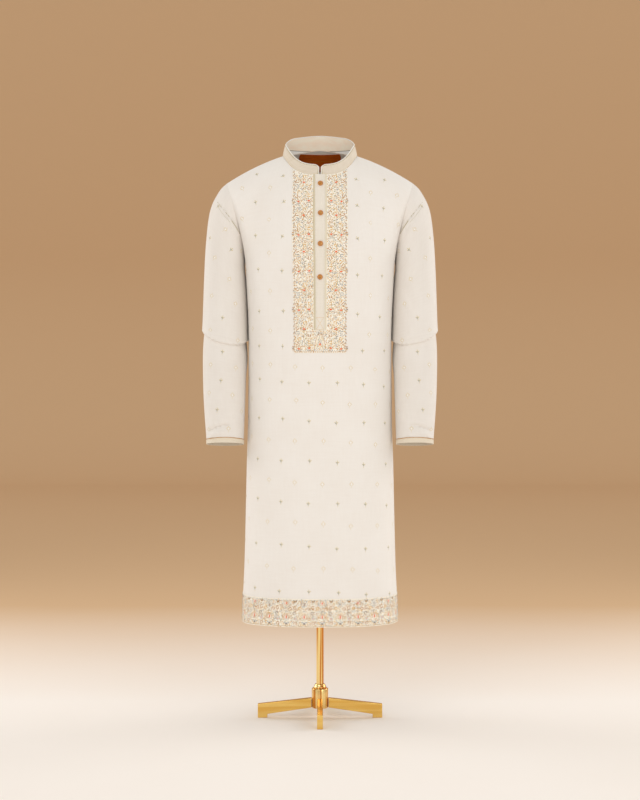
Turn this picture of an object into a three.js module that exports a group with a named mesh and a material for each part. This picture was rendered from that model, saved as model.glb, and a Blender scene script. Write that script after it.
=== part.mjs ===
import * as THREE from 'three';

// A long-sleeved panjabi on a pole stand, in millimetres. +Z is up, the floor is z = 0, the pole
// stands on the Z axis and the garment's front faces -Y. Left and right are as seen from the front.

// Cloth and seams
const CLOTH = 1.6; // wall of the panels and sleeves
const COLLAR_WALL = 2.0;
const LAYER = 0.7; // embroidered layers, placket strips and label
const GAP = 0.3; // clearance at a seam or between layers
const ARMHOLE_GAP = 0.45;

// Body: a rounded-rectangle ring at each height, from the hem to the armpits
const HEM_Z = 226;
const ARMPIT_Z = 1046;
const BODY_EXPONENT = 2.5;
const BODY_ROWS = [
  { z: 226, halfWidth: 178.3, halfDepth: 134 },
  { z: 262, halfWidth: 177.6, halfDepth: 133.5 },
  { z: 361, halfWidth: 173.2, halfDepth: 131 },
  { z: 603, halfWidth: 167.6, halfDepth: 127 },
  { z: 680, halfWidth: 165.2, halfDepth: 126 },
  { z: 890, halfWidth: 164.2, halfDepth: 127 },
  { z: 1005, halfWidth: 169.4, halfDepth: 129 },
  { z: 1046, halfWidth: 171.8, halfDepth: 129 },
];

// Soft drapes that hang from the hip: where they lie (degrees from the panel's centre), how wide and deep
const FRONT_DRAPES = [
  { at: -62, spread: 9, depth: 2.4, topZ: 620 },
  { at: -31, spread: 8, depth: -1.6, topZ: 520 },
  { at: 24, spread: 9, depth: 1.5, topZ: 560 },
  { at: 57, spread: 8, depth: 2.6, topZ: 660 },
];
const BACK_DRAPES = [
  { at: -55, spread: 9, depth: 2.6, topZ: 700 },
  { at: -22, spread: 10, depth: -1.8, topZ: 640 },
  { at: 18, spread: 9, depth: 2.2, topZ: 760 },
  { at: 60, spread: 8, depth: 2.4, topZ: 600 },
];

// Neck and shoulder. Each panel is a sheet from the armpits to the shoulder line, cut out at the neck seam
const NECK_HALF_WIDTH = 86;
const NECK_EXPONENT = 2.2;
const SHOULDER_Y = 5;
const NECK_POINT_Z = 1290;
const NECK_SEAM = {
  front: { z: 1240, power: 3.3, crown: 0 },
  back: { z: 1308, power: 1.45, crown: 18 },
};
const SHOULDER_TIP_X = 213.5;
const SHOULDER_SLOPE = 0.33;
const SHOULDER_CURVE = 0.00125; // the shoulder falls faster towards its tip
const YOKE_PULL = { front: 220, back: 260, armhole: 196, shoulder: 300 }; // how far the cloth keeps its direction

// Collar band: rise of its top edge from its base, from the front centre (0) round to the back centre
const COLLAR_RISE = [
  { angle: 0, inward: 0, back: 17, up: 24 },
  { angle: 90, inward: 6, back: -1, up: 26 },
  { angle: 130, inward: 2.5, back: -5, up: 34.5 },
  { angle: 152, inward: 0.8, back: -6, up: 34 },
  { angle: 180, inward: 0, back: -6, up: 31.5 },
];
const COLLAR_OPENING = 5.4;
const COLLAR_CORNER = 12; // radius of its front corners
const PIPING_RADIUS = 0.9;

// Placket, buttons, bib, borders and label
const STRIP_WIDTH = 20.4;
const PLACKET_WIDTH = 29;
const PLACKET_BOTTOM_Z = 889;
const BIB_WIDTH = 122;
const BIB_BOTTOM_Z = 838;
const BORDER_TOP_Z = 289;
const LABEL_WIDTH = 98;
const LABEL_ROWS = [0.78, 0.95]; // its lower and upper edge, as parts of the way from armpit to neck
const BUTTON_RADIUS = 6;
const BUTTON_HEIGHT = 3;
const BUTTON_Z = [1218, 1150.6, 1081.7, 1007.5];

// Sleeve: outer and inner edge seen from the front, depth, and how far the ring keeps the armhole's form
const SLEEVE_EXPONENT = 2.2;
const SLEEVE_ROWS = [
  { outX: 213.5, outZ: 1227, inX: 172.2, inZ: 1046, halfDepth: 60, y: 2, tilt: 0, armhole: 1 },
  { outX: 226.5, outZ: 1215, inX: 172.9, inZ: 1043, halfDepth: 61, y: 1, tilt: 0, armhole: 0.86 },
  { outX: 237, outZ: 1199.5, inX: 173.1, inZ: 1038, halfDepth: 61, y: 1, tilt: 0, armhole: 0.7 },
  { outX: 246.6, outZ: 1181, inX: 173.1, inZ: 1032, halfDepth: 60, y: 0, tilt: 0, armhole: 0.53 },
  { outX: 253.5, outZ: 1159, inX: 173, inZ: 1025, halfDepth: 59, y: 0, tilt: 0, armhole: 0.36 },
  { outX: 258, outZ: 1130, inX: 172.6, inZ: 1016, halfDepth: 58, y: -1, tilt: 0, armhole: 0.2 },
  { outX: 261.6, outZ: 1092, inX: 171.8, inZ: 1003, halfDepth: 56.5, y: -3, tilt: 0.01, armhole: 0.08 },
  { outX: 264.3, outZ: 1047, inX: 170.8, inZ: 985, halfDepth: 55, y: -5, tilt: 0.02, armhole: 0 },
  { outX: 266.4, outZ: 994, inX: 169.6, inZ: 958, halfDepth: 54, y: -8, tilt: 0.03, armhole: 0 },
  { outX: 268.6, outZ: 938, inX: 168.2, inZ: 915, halfDepth: 53, y: -12, tilt: 0.04, armhole: 0 },
  { outX: 270.2, outZ: 902, inX: 167.2, inZ: 879, halfDepth: 53, y: -15, tilt: 0.05, armhole: 0 },
  { outX: 270.6, outZ: 890, inX: 167, inZ: 866, halfDepth: 53.5, y: -16, tilt: 0.06, armhole: 0 },
  { outX: 267, outZ: 884, inX: 169.4, inZ: 861, halfDepth: 50.5, y: -17, tilt: 0.06, armhole: 0 },
  { outX: 267.4, outZ: 866, inX: 168.6, inZ: 845, halfDepth: 50, y: -18, tilt: 0.07, armhole: 0 },
  { outX: 267.9, outZ: 808, inX: 168.8, inZ: 797, halfDepth: 49, y: -25, tilt: 0.1, armhole: 0 },
  { outX: 266, outZ: 748, inX: 170.2, inZ: 742, halfDepth: 48, y: -33, tilt: 0.12, armhole: 0 },
  { outX: 263, outZ: 700, inX: 171.6, inZ: 697, halfDepth: 47, y: -40, tilt: 0.125, armhole: 0 },
  { outX: 260.2, outZ: 666, inX: 172.6, inZ: 665, halfDepth: 46.5, y: -45, tilt: 0.127, armhole: 0 },
  { outX: 258.4, outZ: 642, inX: 173.2, inZ: 642, halfDepth: 46, y: -48, tilt: 0.127, armhole: 0 },
  { outX: 257.8, outZ: 630.5, inX: 173.2, inZ: 630.5, halfDepth: 46, y: -50, tilt: 0.127, armhole: 0 },
];
const CUFF_ROW = SLEEVE_ROWS.length - 2; // the cuff band runs from this row to the last

// Mesh steps
const BODY_STEPS = { drape: 6, chest: 3, yoke: 10 };
const NECK_STEPS = 4;
const SHOULDER_STEPS = 7;
const NECK_POINT_ANGLE = 30; // where the column that ends at the neck point stands on the body ring
const PROBE = 1e-3; // step that a surface's normal is measured over

// Stand
const POLE_RADIUS = 8.5;
const FOOT_REACH = 143;
const LEG_WIDTH = 13;
const LEG_BEVEL = 1.2;
const LEG_PROFILE = { hubLow: 23.5, hubTop: 45.5, footIn: 121, footLow: 8.5, footTop: 31.5 };
const HUB = { radius: 19, bottomZ: 22, topZ: 68, bevel: 2.5 };
const FERRULE = { radius: 14.5, neckRadius: 11, topZ: 77.5 };
const BAR = { halfLength: 196, halfDepth: 13, halfHeight: 7, neckEnd: 97, middleTopZ: 1232, steps: 28 };
const BAR_CLEARANCE = 2.8; // cloth wall and gap, measured down a sloping shoulder
const ROUND_SIDES = 24;

const MATERIALS = {
  cloth: { color: 0xede4d9, roughness: 0.82, metalness: 0 },
  collar: { color: 0xe2d9c9, roughness: 0.8, metalness: 0 },
  piping: { color: 0xf4efe6, roughness: 0.7, metalness: 0 },
  placket: { color: 0xe6ddcf, roughness: 0.8, metalness: 0 },
  embroidery: { color: 0xd2b98c, roughness: 0.7, metalness: 0.1 },
  cuff: { color: 0xd9cbb4, roughness: 0.8, metalness: 0 },
  label: { color: 0x73370a, roughness: 0.6, metalness: 0 },
  wood: { color: 0xbe7832, roughness: 0.45, metalness: 0 },
  brass: { color: 0xe4b450, roughness: 0.25, metalness: 0.9 },
};

const group = new THREE.Group();

/** Adds one named mesh with a material of its own. */
function add(name, geometry, finish) {
  const mesh = new THREE.Mesh(geometry, new THREE.MeshStandardMaterial(MATERIALS[finish]));
  mesh.name = name;
  group.add(mesh);
  return mesh;
}

/** Sine or cosine raised to the power that squares an ellipse off. */
function squared(value, exponent) {
  return Math.sign(value) * Math.abs(value) ** (2 / exponent);
}

/** All columns of a table at one place along its key column, on a smooth curve through the rows. */
function lookUp(rows, key, at) {
  const last = rows.length - 1;
  let low = 0;
  while (low < last - 1 && at > rows[low + 1][key]) low += 1;
  const [from, to] = [rows[low], rows[low + 1]];
  const [before, after] = [rows[Math.max(low - 1, 0)], rows[Math.min(low + 2, last)]];
  const span = to[key] - from[key];
  const t = (at - from[key]) / span;
  const result = {};
  for (const column of Object.keys(from)) {
    const startSlope = (to[column] - before[column]) / (to[key] - before[key]);
    const endSlope = (after[column] - from[column]) / (after[key] - from[key]);
    result[column] = hermite(from[column], to[column], startSlope * span, endSlope * span, t);
  }
  return result;
}

/** Cubic from a to b that leaves with slope ta and arrives with slope tb. */
function hermite(a, b, ta, tb, t) {
  const rise = t * t * (3 - 2 * t);
  return a + (b - a) * rise + ta * t * (1 - t) ** 2 - tb * t * t * (1 - t);
}

/** The same between two points. */
function hermitePoint(a, b, ta, tb, t) {
  return new THREE.Vector3(
    hermite(a.x, b.x, ta.x, tb.x, t),
    hermite(a.y, b.y, ta.y, tb.y, t),
    hermite(a.z, b.z, ta.z, tb.z, t),
  );
}

/** Evenly spaced values from start to end. */
function spaced(start, end, steps) {
  return Array.from({ length: steps + 1 }, (_, k) => start + ((end - start) * k) / steps);
}

/** 0 before start, 1 after end, smooth between them. */
const ease = (start, end, at) => THREE.MathUtils.smoothstep(at, start, end);

const radians = THREE.MathUtils.degToRad;
const degrees = THREE.MathUtils.radToDeg;

/** Angle on a squared ellipse at which it has a given half width. */
function angleAt(x, halfWidth, exponent) {
  return degrees(Math.asin((x / halfWidth) ** (exponent / 2)));
}

/**
 * A wall with its outer face on point(column, row), moved out by lift, and its inner face a thickness
 * further in. turned swaps the side that counts as outside; closed joins the last column to the first.
 */
function sheet({ point, columns, rows, lift = 0, thickness = CLOTH, turned = false, closed = false }) {
  const positions = [];
  for (const row of rows) {
    for (const column of columns) {
      const at = point(column, row);
      const out = outward(point, column, row, columns, rows, closed);
      if (turned) out.negate();
      at.addScaledVector(out, lift);
      positions.push(at.x, at.y, at.z);
      at.addScaledVector(out, -thickness);
      positions.push(at.x, at.y, at.z);
    }
  }
  const width = columns.length;
  const cells = closed ? width : width - 1;
  const outer = (i, j) => 2 * (j * width + (i % width));
  const inner = (i, j) => outer(i, j) + 1;
  const index = [];
  const quad = (a, b, c, d) => index.push(...(turned ? [a, c, b, a, d, c] : [a, b, c, a, c, d]));
  for (let j = 0; j < rows.length - 1; j += 1) {
    for (let i = 0; i < cells; i += 1) {
      quad(outer(i, j), outer(i + 1, j), outer(i + 1, j + 1), outer(i, j + 1));
      quad(inner(i, j), inner(i, j + 1), inner(i + 1, j + 1), inner(i + 1, j));
    }
    if (!closed) {
      quad(outer(0, j), outer(0, j + 1), inner(0, j + 1), inner(0, j));
      quad(outer(cells, j), inner(cells, j), inner(cells, j + 1), outer(cells, j + 1));
    }
  }
  const top = rows.length - 1;
  for (let i = 0; i < cells; i += 1) {
    quad(outer(i, 0), inner(i, 0), inner(i + 1, 0), outer(i + 1, 0));
    quad(outer(i, top), outer(i + 1, top), inner(i + 1, top), inner(i, top));
  }
  const geometry = new THREE.BufferGeometry();
  geometry.setAttribute('position', new THREE.Float32BufferAttribute(positions, 3));
  geometry.setIndex(index);
  return geometry;
}

/** Unit normal of a surface, from a small step each way that stays inside its edges. */
function outward(point, column, row, columns, rows, closed) {
  const keep = (value, list) => Math.min(Math.max(value, list[0]), list.at(-1));
  const inColumns = (value) => (closed ? value : keep(value, columns));
  const across = point(inColumns(column + PROBE), row).sub(point(inColumns(column - PROBE), row));
  const along = point(column, keep(row + PROBE, rows)).sub(point(column, keep(row - PROBE, rows)));
  return across.cross(along).normalize();
}

/** A solid through rings of points, with each end closed by a fan. */
function loft(rings) {
  const sides = rings[0].length;
  const points = rings.flat();
  const index = [];
  for (let j = 0; j < rings.length - 1; j += 1) {
    for (let i = 0; i < sides; i += 1) {
      const [a, b] = [j * sides + i, j * sides + ((i + 1) % sides)];
      index.push(a, b, b + sides, a, b + sides, a + sides);
    }
  }
  const start = points.length;
  const end = start + 1;
  const middle = (ring) => ring.reduce((sum, p) => sum.add(p), new THREE.Vector3()).divideScalar(sides);
  const lastRing = start - sides;
  for (let i = 0; i < sides; i += 1) {
    index.push(start, (i + 1) % sides, i, end, lastRing + i, lastRing + ((i + 1) % sides));
  }
  points.push(middle(rings[0]), middle(rings.at(-1)));
  const geometry = new THREE.BufferGeometry().setFromPoints(points);
  geometry.setIndex(index);
  return geometry;
}

/** A solid turned about the Z axis from a profile of [radius, height] pairs, bottom to top. */
function turnedSolid(profile) {
  const outline = profile.map(([radius, height]) => new THREE.Vector2(radius, height));
  return new THREE.LatheGeometry(outline, ROUND_SIDES).rotateX(Math.PI / 2);
}

/** Outward swell of the soft drapes at an angle on the panel and a height. */
function drape(rows, angle, z) {
  return rows.reduce((sum, { at, spread, depth, topZ }) => {
    const bell = Math.exp(-(((angle - at) / spread) ** 2));
    return sum + depth * bell * (1 - ease(HEM_Z, topZ, z));
  }, 0);
}

/** Point of the body ring. facing is -1 for the front, 1 for the back; angle runs from -90 to 90. */
function bodyPoint(facing, angle, z) {
  const { halfWidth, halfDepth } = lookUp(BODY_ROWS, 'z', z);
  const x = squared(Math.sin(radians(angle)), BODY_EXPONENT) * halfWidth;
  const y = squared(Math.cos(radians(angle)), BODY_EXPONENT) * halfDepth;
  const swell = drape(facing < 0 ? FRONT_DRAPES : BACK_DRAPES, angle, z);
  const scale = 1 + swell / Math.hypot(x, y);
  return new THREE.Vector3(x * scale, facing * (y * scale + GAP / 2), z);
}

/** Height of the neck seam of the front or back at a distance from the centre. */
function neckSeamZ(facing, x) {
  const { z, power } = NECK_SEAM[facing < 0 ? 'front' : 'back'];
  return z + (NECK_POINT_Z - z) * (Math.abs(x) / NECK_HALF_WIDTH) ** power;
}

/** Height of the shoulder line at a distance from the centre, carried on across the neck opening. */
function shoulderZ(x, crown = 0) {
  const beyond = x - NECK_HALF_WIDTH;
  if (beyond > 0) return NECK_POINT_Z - SHOULDER_SLOPE * beyond - SHOULDER_CURVE * beyond * beyond;
  const rest = 1 - (x / NECK_HALF_WIDTH) ** 2;
  return NECK_POINT_Z + (SHOULDER_SLOPE * NECK_HALF_WIDTH * rest) / 2 + crown * rest * rest;
}

/**
 * The columns of half a panel. Each stretch ends at an angle on the body ring and at an angle on the
 * neck seam; the last one ends at the side seam and the shoulder's tip.
 */
function stretches(edges) {
  const chest = BODY_ROWS.at(-1).halfWidth;
  const inner = edges.map(({ x, steps }) => ({
    steps,
    body: angleAt(x, chest, BODY_EXPONENT),
    neck: angleAt(x, NECK_HALF_WIDTH, NECK_EXPONENT),
  }));
  return [...inner, { steps: NECK_STEPS, body: NECK_POINT_ANGLE, neck: 90 }];
}

/** A panel of the body: its surface as point(column, row), and its columns and rows. */
class Panel {
  constructor(facing, edges, yokeRows) {
    this.facing = facing;
    this.stretches = stretches(edges);
    this.neckColumn = this.stretches.reduce((sum, { steps }) => sum + steps, 0);
    this.sideColumn = this.neckColumn + SHOULDER_STEPS;
    this.columns = spaced(-this.sideColumn, this.sideColumn, 2 * this.sideColumn);
    this.yokeRows = yokeRows;
    this.neckParts = new Map();
    const rowOf = (z) => (z - HEM_Z) / (ARMPIT_Z - HEM_Z);
    this.rows = [
      ...spaced(rowOf(HEM_Z), rowOf(BORDER_TOP_Z), 2),
      ...spaced(rowOf(BORDER_TOP_Z), rowOf(BIB_BOTTOM_Z), BODY_STEPS.drape).slice(1),
      ...spaced(rowOf(PLACKET_BOTTOM_Z), 1, BODY_STEPS.chest),
      ...yokeRows.slice(1).map((part) => 1 + part),
    ];
    this.rowOf = rowOf;
    this.point = (column, row) => this.surface(column, row);
  }

  /** Angles of a column on the body ring and the neck seam, and its part of the shoulder. */
  place(column) {
    const distance = Math.abs(column);
    let [start, from] = [0, { body: 0, neck: 0 }];
    for (const to of this.stretches) {
      if (distance <= start + to.steps) {
        const t = (distance - start) / to.steps;
        return {
          body: THREE.MathUtils.lerp(from.body, to.body, t),
          neck: THREE.MathUtils.lerp(from.neck, to.neck, t),
          shoulder: 0,
        };
      }
      start += to.steps;
      from = to;
    }
    const shoulder = (distance - start) / SHOULDER_STEPS;
    return { body: THREE.MathUtils.lerp(NECK_POINT_ANGLE, 90, shoulder), neck: 90, shoulder };
  }

  /** The sheet above the armpits: part runs from the armpits to the shoulder line. */
  yoke(column, part) {
    const side = Math.sign(column) || 1;
    const { body, neck, shoulder } = this.place(column);
    const half = this.facing < 0 ? 'front' : 'back';
    const start = bodyPoint(this.facing, side * body, ARMPIT_Z);
    const atNeck = squared(Math.sin(radians(neck)), NECK_EXPONENT) * NECK_HALF_WIDTH;
    const x = THREE.MathUtils.lerp(atNeck, SHOULDER_TIP_X, shoulder);
    const z = shoulderZ(x, NECK_SEAM[half].crown);
    const end = new THREE.Vector3(side * x, SHOULDER_Y + (this.facing * GAP) / 2, z);

    // The centre rises straight; towards the armhole the cloth first runs forward round the armpit.
    const towardArmhole = ease(50, 90, body);
    const rise = THREE.MathUtils.lerp(YOKE_PULL[half], YOKE_PULL.armhole, towardArmhole);
    const leave = new THREE.Vector3(side * 8, this.facing * YOKE_PULL.armhole * towardArmhole, rise);
    const arrive = new THREE.Vector3(0, -this.facing * YOKE_PULL.shoulder, 0);
    return hermitePoint(start, end, leave, arrive, part);
  }

  /** Part of the way up the yoke at which a column meets the neck seam, found by halving. */
  neckPart(column) {
    const distance = Math.abs(column);
    if (distance >= this.neckColumn) return 1;
    if (!this.neckParts.has(distance)) {
      let [low, high] = [0.3, 1];
      for (let k = 0; k < 40; k += 1) {
        const middle = (low + high) / 2;
        const at = this.yoke(distance, middle);
        if (at.z < neckSeamZ(this.facing, at.x)) low = middle;
        else high = middle;
      }
      this.neckParts.set(distance, low);
    }
    return this.neckParts.get(distance);
  }

  surface(column, row) {
    if (row > 1) return this.yoke(column, (row - 1) * this.neckPart(column));
    const side = Math.sign(column) || 1;
    return bodyPoint(this.facing, side * this.place(column).body, THREE.MathUtils.lerp(HEM_Z, ARMPIT_Z, row));
  }

  /** Columns from one edge to another, by column numbers. */
  between(low, high) {
    return this.columns.filter((column) => column >= low && column <= high);
  }

  /** Rows from one height on the body, or part of the yoke, to another. */
  rowsBetween(low, high) {
    const slack = 1e-6;
    return this.rows.filter((row) => row >= low - slack && row <= high + slack);
  }

  /** A layer on the panel, or inside it, with the panel's own rows and columns. */
  layer({ low, high, columns, outerLift, thickness = LAYER }) {
    return sheet({
      point: this.point,
      columns: this.between(-columns, columns),
      rows: this.rowsBetween(low, high),
      lift: outerLift,
      thickness,
      turned: this.facing > 0,
    });
  }
}

const frontPanel = new Panel(
  -1,
  [
    { x: STRIP_WIDTH / 2, steps: 1 },
    { x: PLACKET_WIDTH / 2, steps: 1 },
    { x: BIB_WIDTH / 2, steps: 2 },
  ],
  spaced(0, 1, BODY_STEPS.yoke),
);
const backPanel = new Panel(
  1,
  [
    { x: LABEL_WIDTH / 2, steps: 2 },
    { x: BIB_WIDTH / 2, steps: 1 },
  ],
  [...spaced(0, LABEL_ROWS[0], 7), ...spaced(LABEL_ROWS[0], LABEL_ROWS[1], 2).slice(1), 1],
);
const LABEL_COLUMN = 2;
const STRIP_COLUMN = 1;
const PLACKET_COLUMN = 2;
const BIB_COLUMN = 4;

/** The two body panels. */
function addPanels() {
  for (const [name, panel] of [['front_panel', frontPanel], ['back_panel', backPanel]]) {
    const { point, columns, rows } = panel;
    add(name, sheet({ point, columns, rows, turned: panel.facing > 0 }), 'cloth');
  }
}

/** Embroidered bib, placket strips, hem borders and label, each on its panel's own points. */
function addLayers() {
  const bibLift = GAP + LAYER;
  const placketLift = bibLift + GAP + LAYER;
  const stripLift = placketLift + GAP + LAYER;
  const bibLow = frontPanel.rowOf(BIB_BOTTOM_Z);
  const placketLow = frontPanel.rowOf(PLACKET_BOTTOM_Z);
  const placed = [
    ['bib', bibLow, BIB_COLUMN, bibLift, 'embroidery'],
    ['placket_base', placketLow, PLACKET_COLUMN, placketLift, 'placket'],
    ['placket_strip', placketLow, STRIP_COLUMN, stripLift, 'placket'],
  ];
  for (const [name, low, columns, outerLift, finish] of placed) {
    add(name, frontPanel.layer({ low, high: 2, columns, outerLift }), finish);
  }
  for (const [name, panel] of [['hem_border_front', frontPanel], ['hem_border_back', backPanel]]) {
    const high = panel.rowOf(BORDER_TOP_Z);
    add(name, panel.layer({ low: 0, high, columns: panel.sideColumn, outerLift: bibLift }), 'embroidery');
  }
  const [low, high] = LABEL_ROWS.map((part) => 1 + part);
  const outerLift = -CLOTH - GAP;
  add('neck_label', backPanel.layer({ low, high, columns: LABEL_COLUMN, outerLift }), 'label');
  addButtons(stripLift + GAP);
}

/** Row of the front panel's centre line at a height in the yoke, found by halving. */
function frontRowAt(z) {
  let [low, high] = [frontPanel.rowOf(PLACKET_BOTTOM_Z), 2];
  for (let k = 0; k < 30; k += 1) {
    const middle = (low + high) / 2;
    if (frontPanel.surface(0, middle).z < z) low = middle;
    else high = middle;
  }
  return low;
}

/** Four round buttons down the placket, each square to the cloth under it. */
function addButtons(lift) {
  const rim = 0.8;
  const profile = [
    [0, 0],
    [BUTTON_RADIUS - rim, 0],
    [BUTTON_RADIUS, rim],
    [BUTTON_RADIUS, BUTTON_HEIGHT - rim],
    [BUTTON_RADIUS - rim, BUTTON_HEIGHT],
    [BUTTON_RADIUS - 3 * rim, BUTTON_HEIGHT - rim],
    [0, BUTTON_HEIGHT - rim],
  ];
  BUTTON_Z.forEach((z, k) => {
    const row = frontRowAt(z);
    const out = outward(frontPanel.point, 0, row, frontPanel.columns, frontPanel.rows, false);
    const button = add(`button_${k + 1}`, turnedSolid(profile), 'wood');
    button.position.copy(frontPanel.surface(0, row)).addScaledVector(out, lift);
    button.quaternion.setFromUnitVectors(new THREE.Vector3(0, 0, 1), out);
  });
}

/** The armhole seam, from the armpit up the front to the shoulder's tip and down the back. */
function armholePoint(side, part) {
  const half = part <= 1 ? frontPanel : backPanel;
  const along = part <= 1 ? part : 2 - part;
  const steps = half.yokeRows.length - 1;
  const low = Math.min(Math.floor(along * steps), steps - 1);
  const yoke = THREE.MathUtils.lerp(half.yokeRows[low], half.yokeRows[low + 1], along * steps - low);
  const at = half.surface(side * half.sideColumn, 1 + yoke);
  at.x += side * ARMHOLE_GAP;
  return at;
}

/** Ring of the sleeve: 0 on the inner side, 1 on the outer side by way of the front, 2 inside again. */
function sleeveRing(side, row, part) {
  const { outX, outZ, inX, inZ, halfDepth, y, tilt } = row;
  const turn = Math.PI * part;
  const across = squared(Math.cos(turn), SLEEVE_EXPONENT);
  const forward = halfDepth * squared(Math.sin(turn), SLEEVE_EXPONENT);
  const x = (outX + inX) / 2 - (across * (outX - inX)) / 2;
  const z = (outZ + inZ) / 2 - (across * (outZ - inZ)) / 2 + forward * tilt;
  return new THREE.Vector3(side * x, y - forward, z);
}

/** Point of a sleeve. row counts the rows of the table; the first rings take the armhole's form. */
function sleevePoint(side, part, row) {
  const low = Math.min(Math.floor(row), SLEEVE_ROWS.length - 2);
  const t = row - low;
  const [from, to] = [SLEEVE_ROWS[low], SLEEVE_ROWS[low + 1]];
  const at = sleeveRing(side, from, part).lerp(sleeveRing(side, to, part), t);
  const armhole = THREE.MathUtils.lerp(from.armhole, to.armhole, t);
  if (armhole > 0) {
    const form = armholePoint(side, part).sub(sleeveRing(side, SLEEVE_ROWS[0], part));
    at.addScaledVector(form, armhole);
  }
  return at;
}

/** Both sleeves and the turned band at each wrist. */
function addSleeves() {
  const steps = 2 * BODY_STEPS.yoke;
  const columns = spaced(0, 2 - 2 / steps, steps - 1);
  const wrap = (part) => ((part % 2) + 2) % 2;
  const rows = SLEEVE_ROWS.map((_, k) => k);
  for (const [name, side] of [['left', -1], ['right', 1]]) {
    const point = (part, row) => sleevePoint(side, wrap(part), row);
    const wall = { point, columns, closed: true, turned: side > 0 };
    const sleeveRows = rows.slice(0, CUFF_ROW + 1);
    add(`sleeve_${name}`, sheet({ ...wall, rows: sleeveRows }), 'cloth');
    const seam = GAP / (SLEEVE_ROWS[CUFF_ROW].outZ - SLEEVE_ROWS[CUFF_ROW + 1].outZ);
    add(`cuff_${name}`, sheet({ ...wall, rows: [CUFF_ROW + seam, CUFF_ROW + 1] }), 'cuff');
  }
}

/** Columns from the front centre to the back centre, by way of the neck point. */
const NECK_COLUMNS = frontPanel.neckColumn + backPanel.neckColumn;

/** Point of the collar band. column runs from 0 at the front centre, part from base to top edge. */
function collarPoint(side, column, part) {
  const atBack = column > frontPanel.neckColumn;
  const panel = atBack ? backPanel : frontPanel;
  const panelColumn = atBack ? NECK_COLUMNS - column : column;
  const base = panel.surface(panelColumn, 2);
  const angle = panel.place(panelColumn).neck;
  const { inward, back, up } = lookUp(COLLAR_RISE, 'angle', atBack ? 180 - angle : angle);
  const fromEnd = column < 2 ? base.x - COLLAR_OPENING / 2 : COLLAR_CORNER;
  const short = Math.max(0, 1 - fromEnd / COLLAR_CORNER);
  const rise = Math.hypot(back, up);
  const height = 1 - (COLLAR_CORNER * (1 - Math.sqrt(1 - short * short))) / rise;
  base.addScaledVector(new THREE.Vector3(-inward, back, up), part * height + (2 * GAP) / rise);
  base.x *= side;
  return base;
}

/** Columns of half the collar: its front end, its rounded corner and the panels' own columns. */
function collarColumns() {
  const corner = [0, 0.15, 0.4].map((part) => {
    const x = COLLAR_OPENING / 2 + part * COLLAR_CORNER;
    return angleAt(x, NECK_HALF_WIDTH, NECK_EXPONENT) / frontPanel.place(1).neck;
  });
  return [...corner, ...spaced(1, NECK_COLUMNS, NECK_COLUMNS - 1)];
}

/** The collar band, open at the front, and the piping along its edge. */
function addCollar() {
  const half = collarColumns();
  // Past the back centre the column numbers run on, so that one strip reaches from end to end.
  const columns = [...half, ...half.slice(0, -1).reverse().map((column) => 2 * NECK_COLUMNS - column)];
  const point = (column, part) => (column <= NECK_COLUMNS
    ? collarPoint(1, column, part)
    : collarPoint(-1, 2 * NECK_COLUMNS - column, part));
  const rows = spaced(0, 1, 3);
  add('collar', sheet({ point, columns, rows, thickness: COLLAR_WALL }), 'collar');
  addPiping(point, columns);
}

/** A round cord that lies along the collar's top edge and down both of its front ends. */
function addPiping(point, columns) {
  const clear = PIPING_RADIUS + 2 * GAP;
  const up = [0.12, 0.55];
  const path = [
    ...up.map((part) => [columns[0], part]),
    ...columns.map((column) => [column, 1]),
    ...up.toReversed().map((part) => [columns.at(-1), part]),
  ];
  const centres = path.map(([column, part], k) => {
    const out = outward(point, column, part, columns, [0, 1], false);
    const before = point(...path[Math.max(k - 1, 0)]);
    const after = point(...path[Math.min(k + 1, path.length - 1)]);
    const away = out.clone().cross(after.sub(before)).normalize();
    return point(column, part).addScaledVector(out, -COLLAR_WALL / 2).addScaledVector(away, clear);
  });
  add('collar_piping', loft(cordRings(centres, PIPING_RADIUS, 6)), 'piping');
}

/** Rings of a round cord of a given radius along points, each square to the cord. */
function cordRings(centres, radius, sides) {
  let across = new THREE.Vector3(0, 0, 1);
  return centres.map((centre, k) => {
    const before = centres[Math.max(k - 1, 0)];
    const after = centres[Math.min(k + 1, centres.length - 1)];
    const along = after.clone().sub(before).normalize();
    across = across.clone().addScaledVector(along, -across.dot(along)).normalize();
    const other = new THREE.Vector3().crossVectors(along, across);
    return Array.from({ length: sides }, (_, i) => {
      const turn = (2 * Math.PI * i) / sides;
      return centre.clone()
        .addScaledVector(across, radius * Math.cos(turn))
        .addScaledVector(other, radius * Math.sin(turn));
    });
  });
}

/** Height of the shoulder bar's top: along the shoulders' inside, and low where the neck is open. */
function barTopZ(x) {
  const distance = Math.abs(x);
  const atShoulder = shoulderZ(Math.max(distance, BAR.neckEnd)) - BAR_CLEARANCE;
  return THREE.MathUtils.lerp(BAR.middleTopZ, atShoulder, ease(0, BAR.neckEnd, distance));
}

/** The bar that the shoulders rest on, an oval in section. */
function addShoulderBar() {
  const rings = spaced(-BAR.halfLength, BAR.halfLength, BAR.steps).map((x) => {
    const middle = barTopZ(x) - BAR.halfHeight;
    return Array.from({ length: 12 }, (_, i) => {
      const turn = (2 * Math.PI * i) / 12;
      const y = SHOULDER_Y + BAR.halfDepth * Math.cos(turn);
      return new THREE.Vector3(x, y, middle + BAR.halfHeight * Math.sin(turn));
    });
  });
  add('shoulder_bar', loft(rings), 'brass');
}

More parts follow.
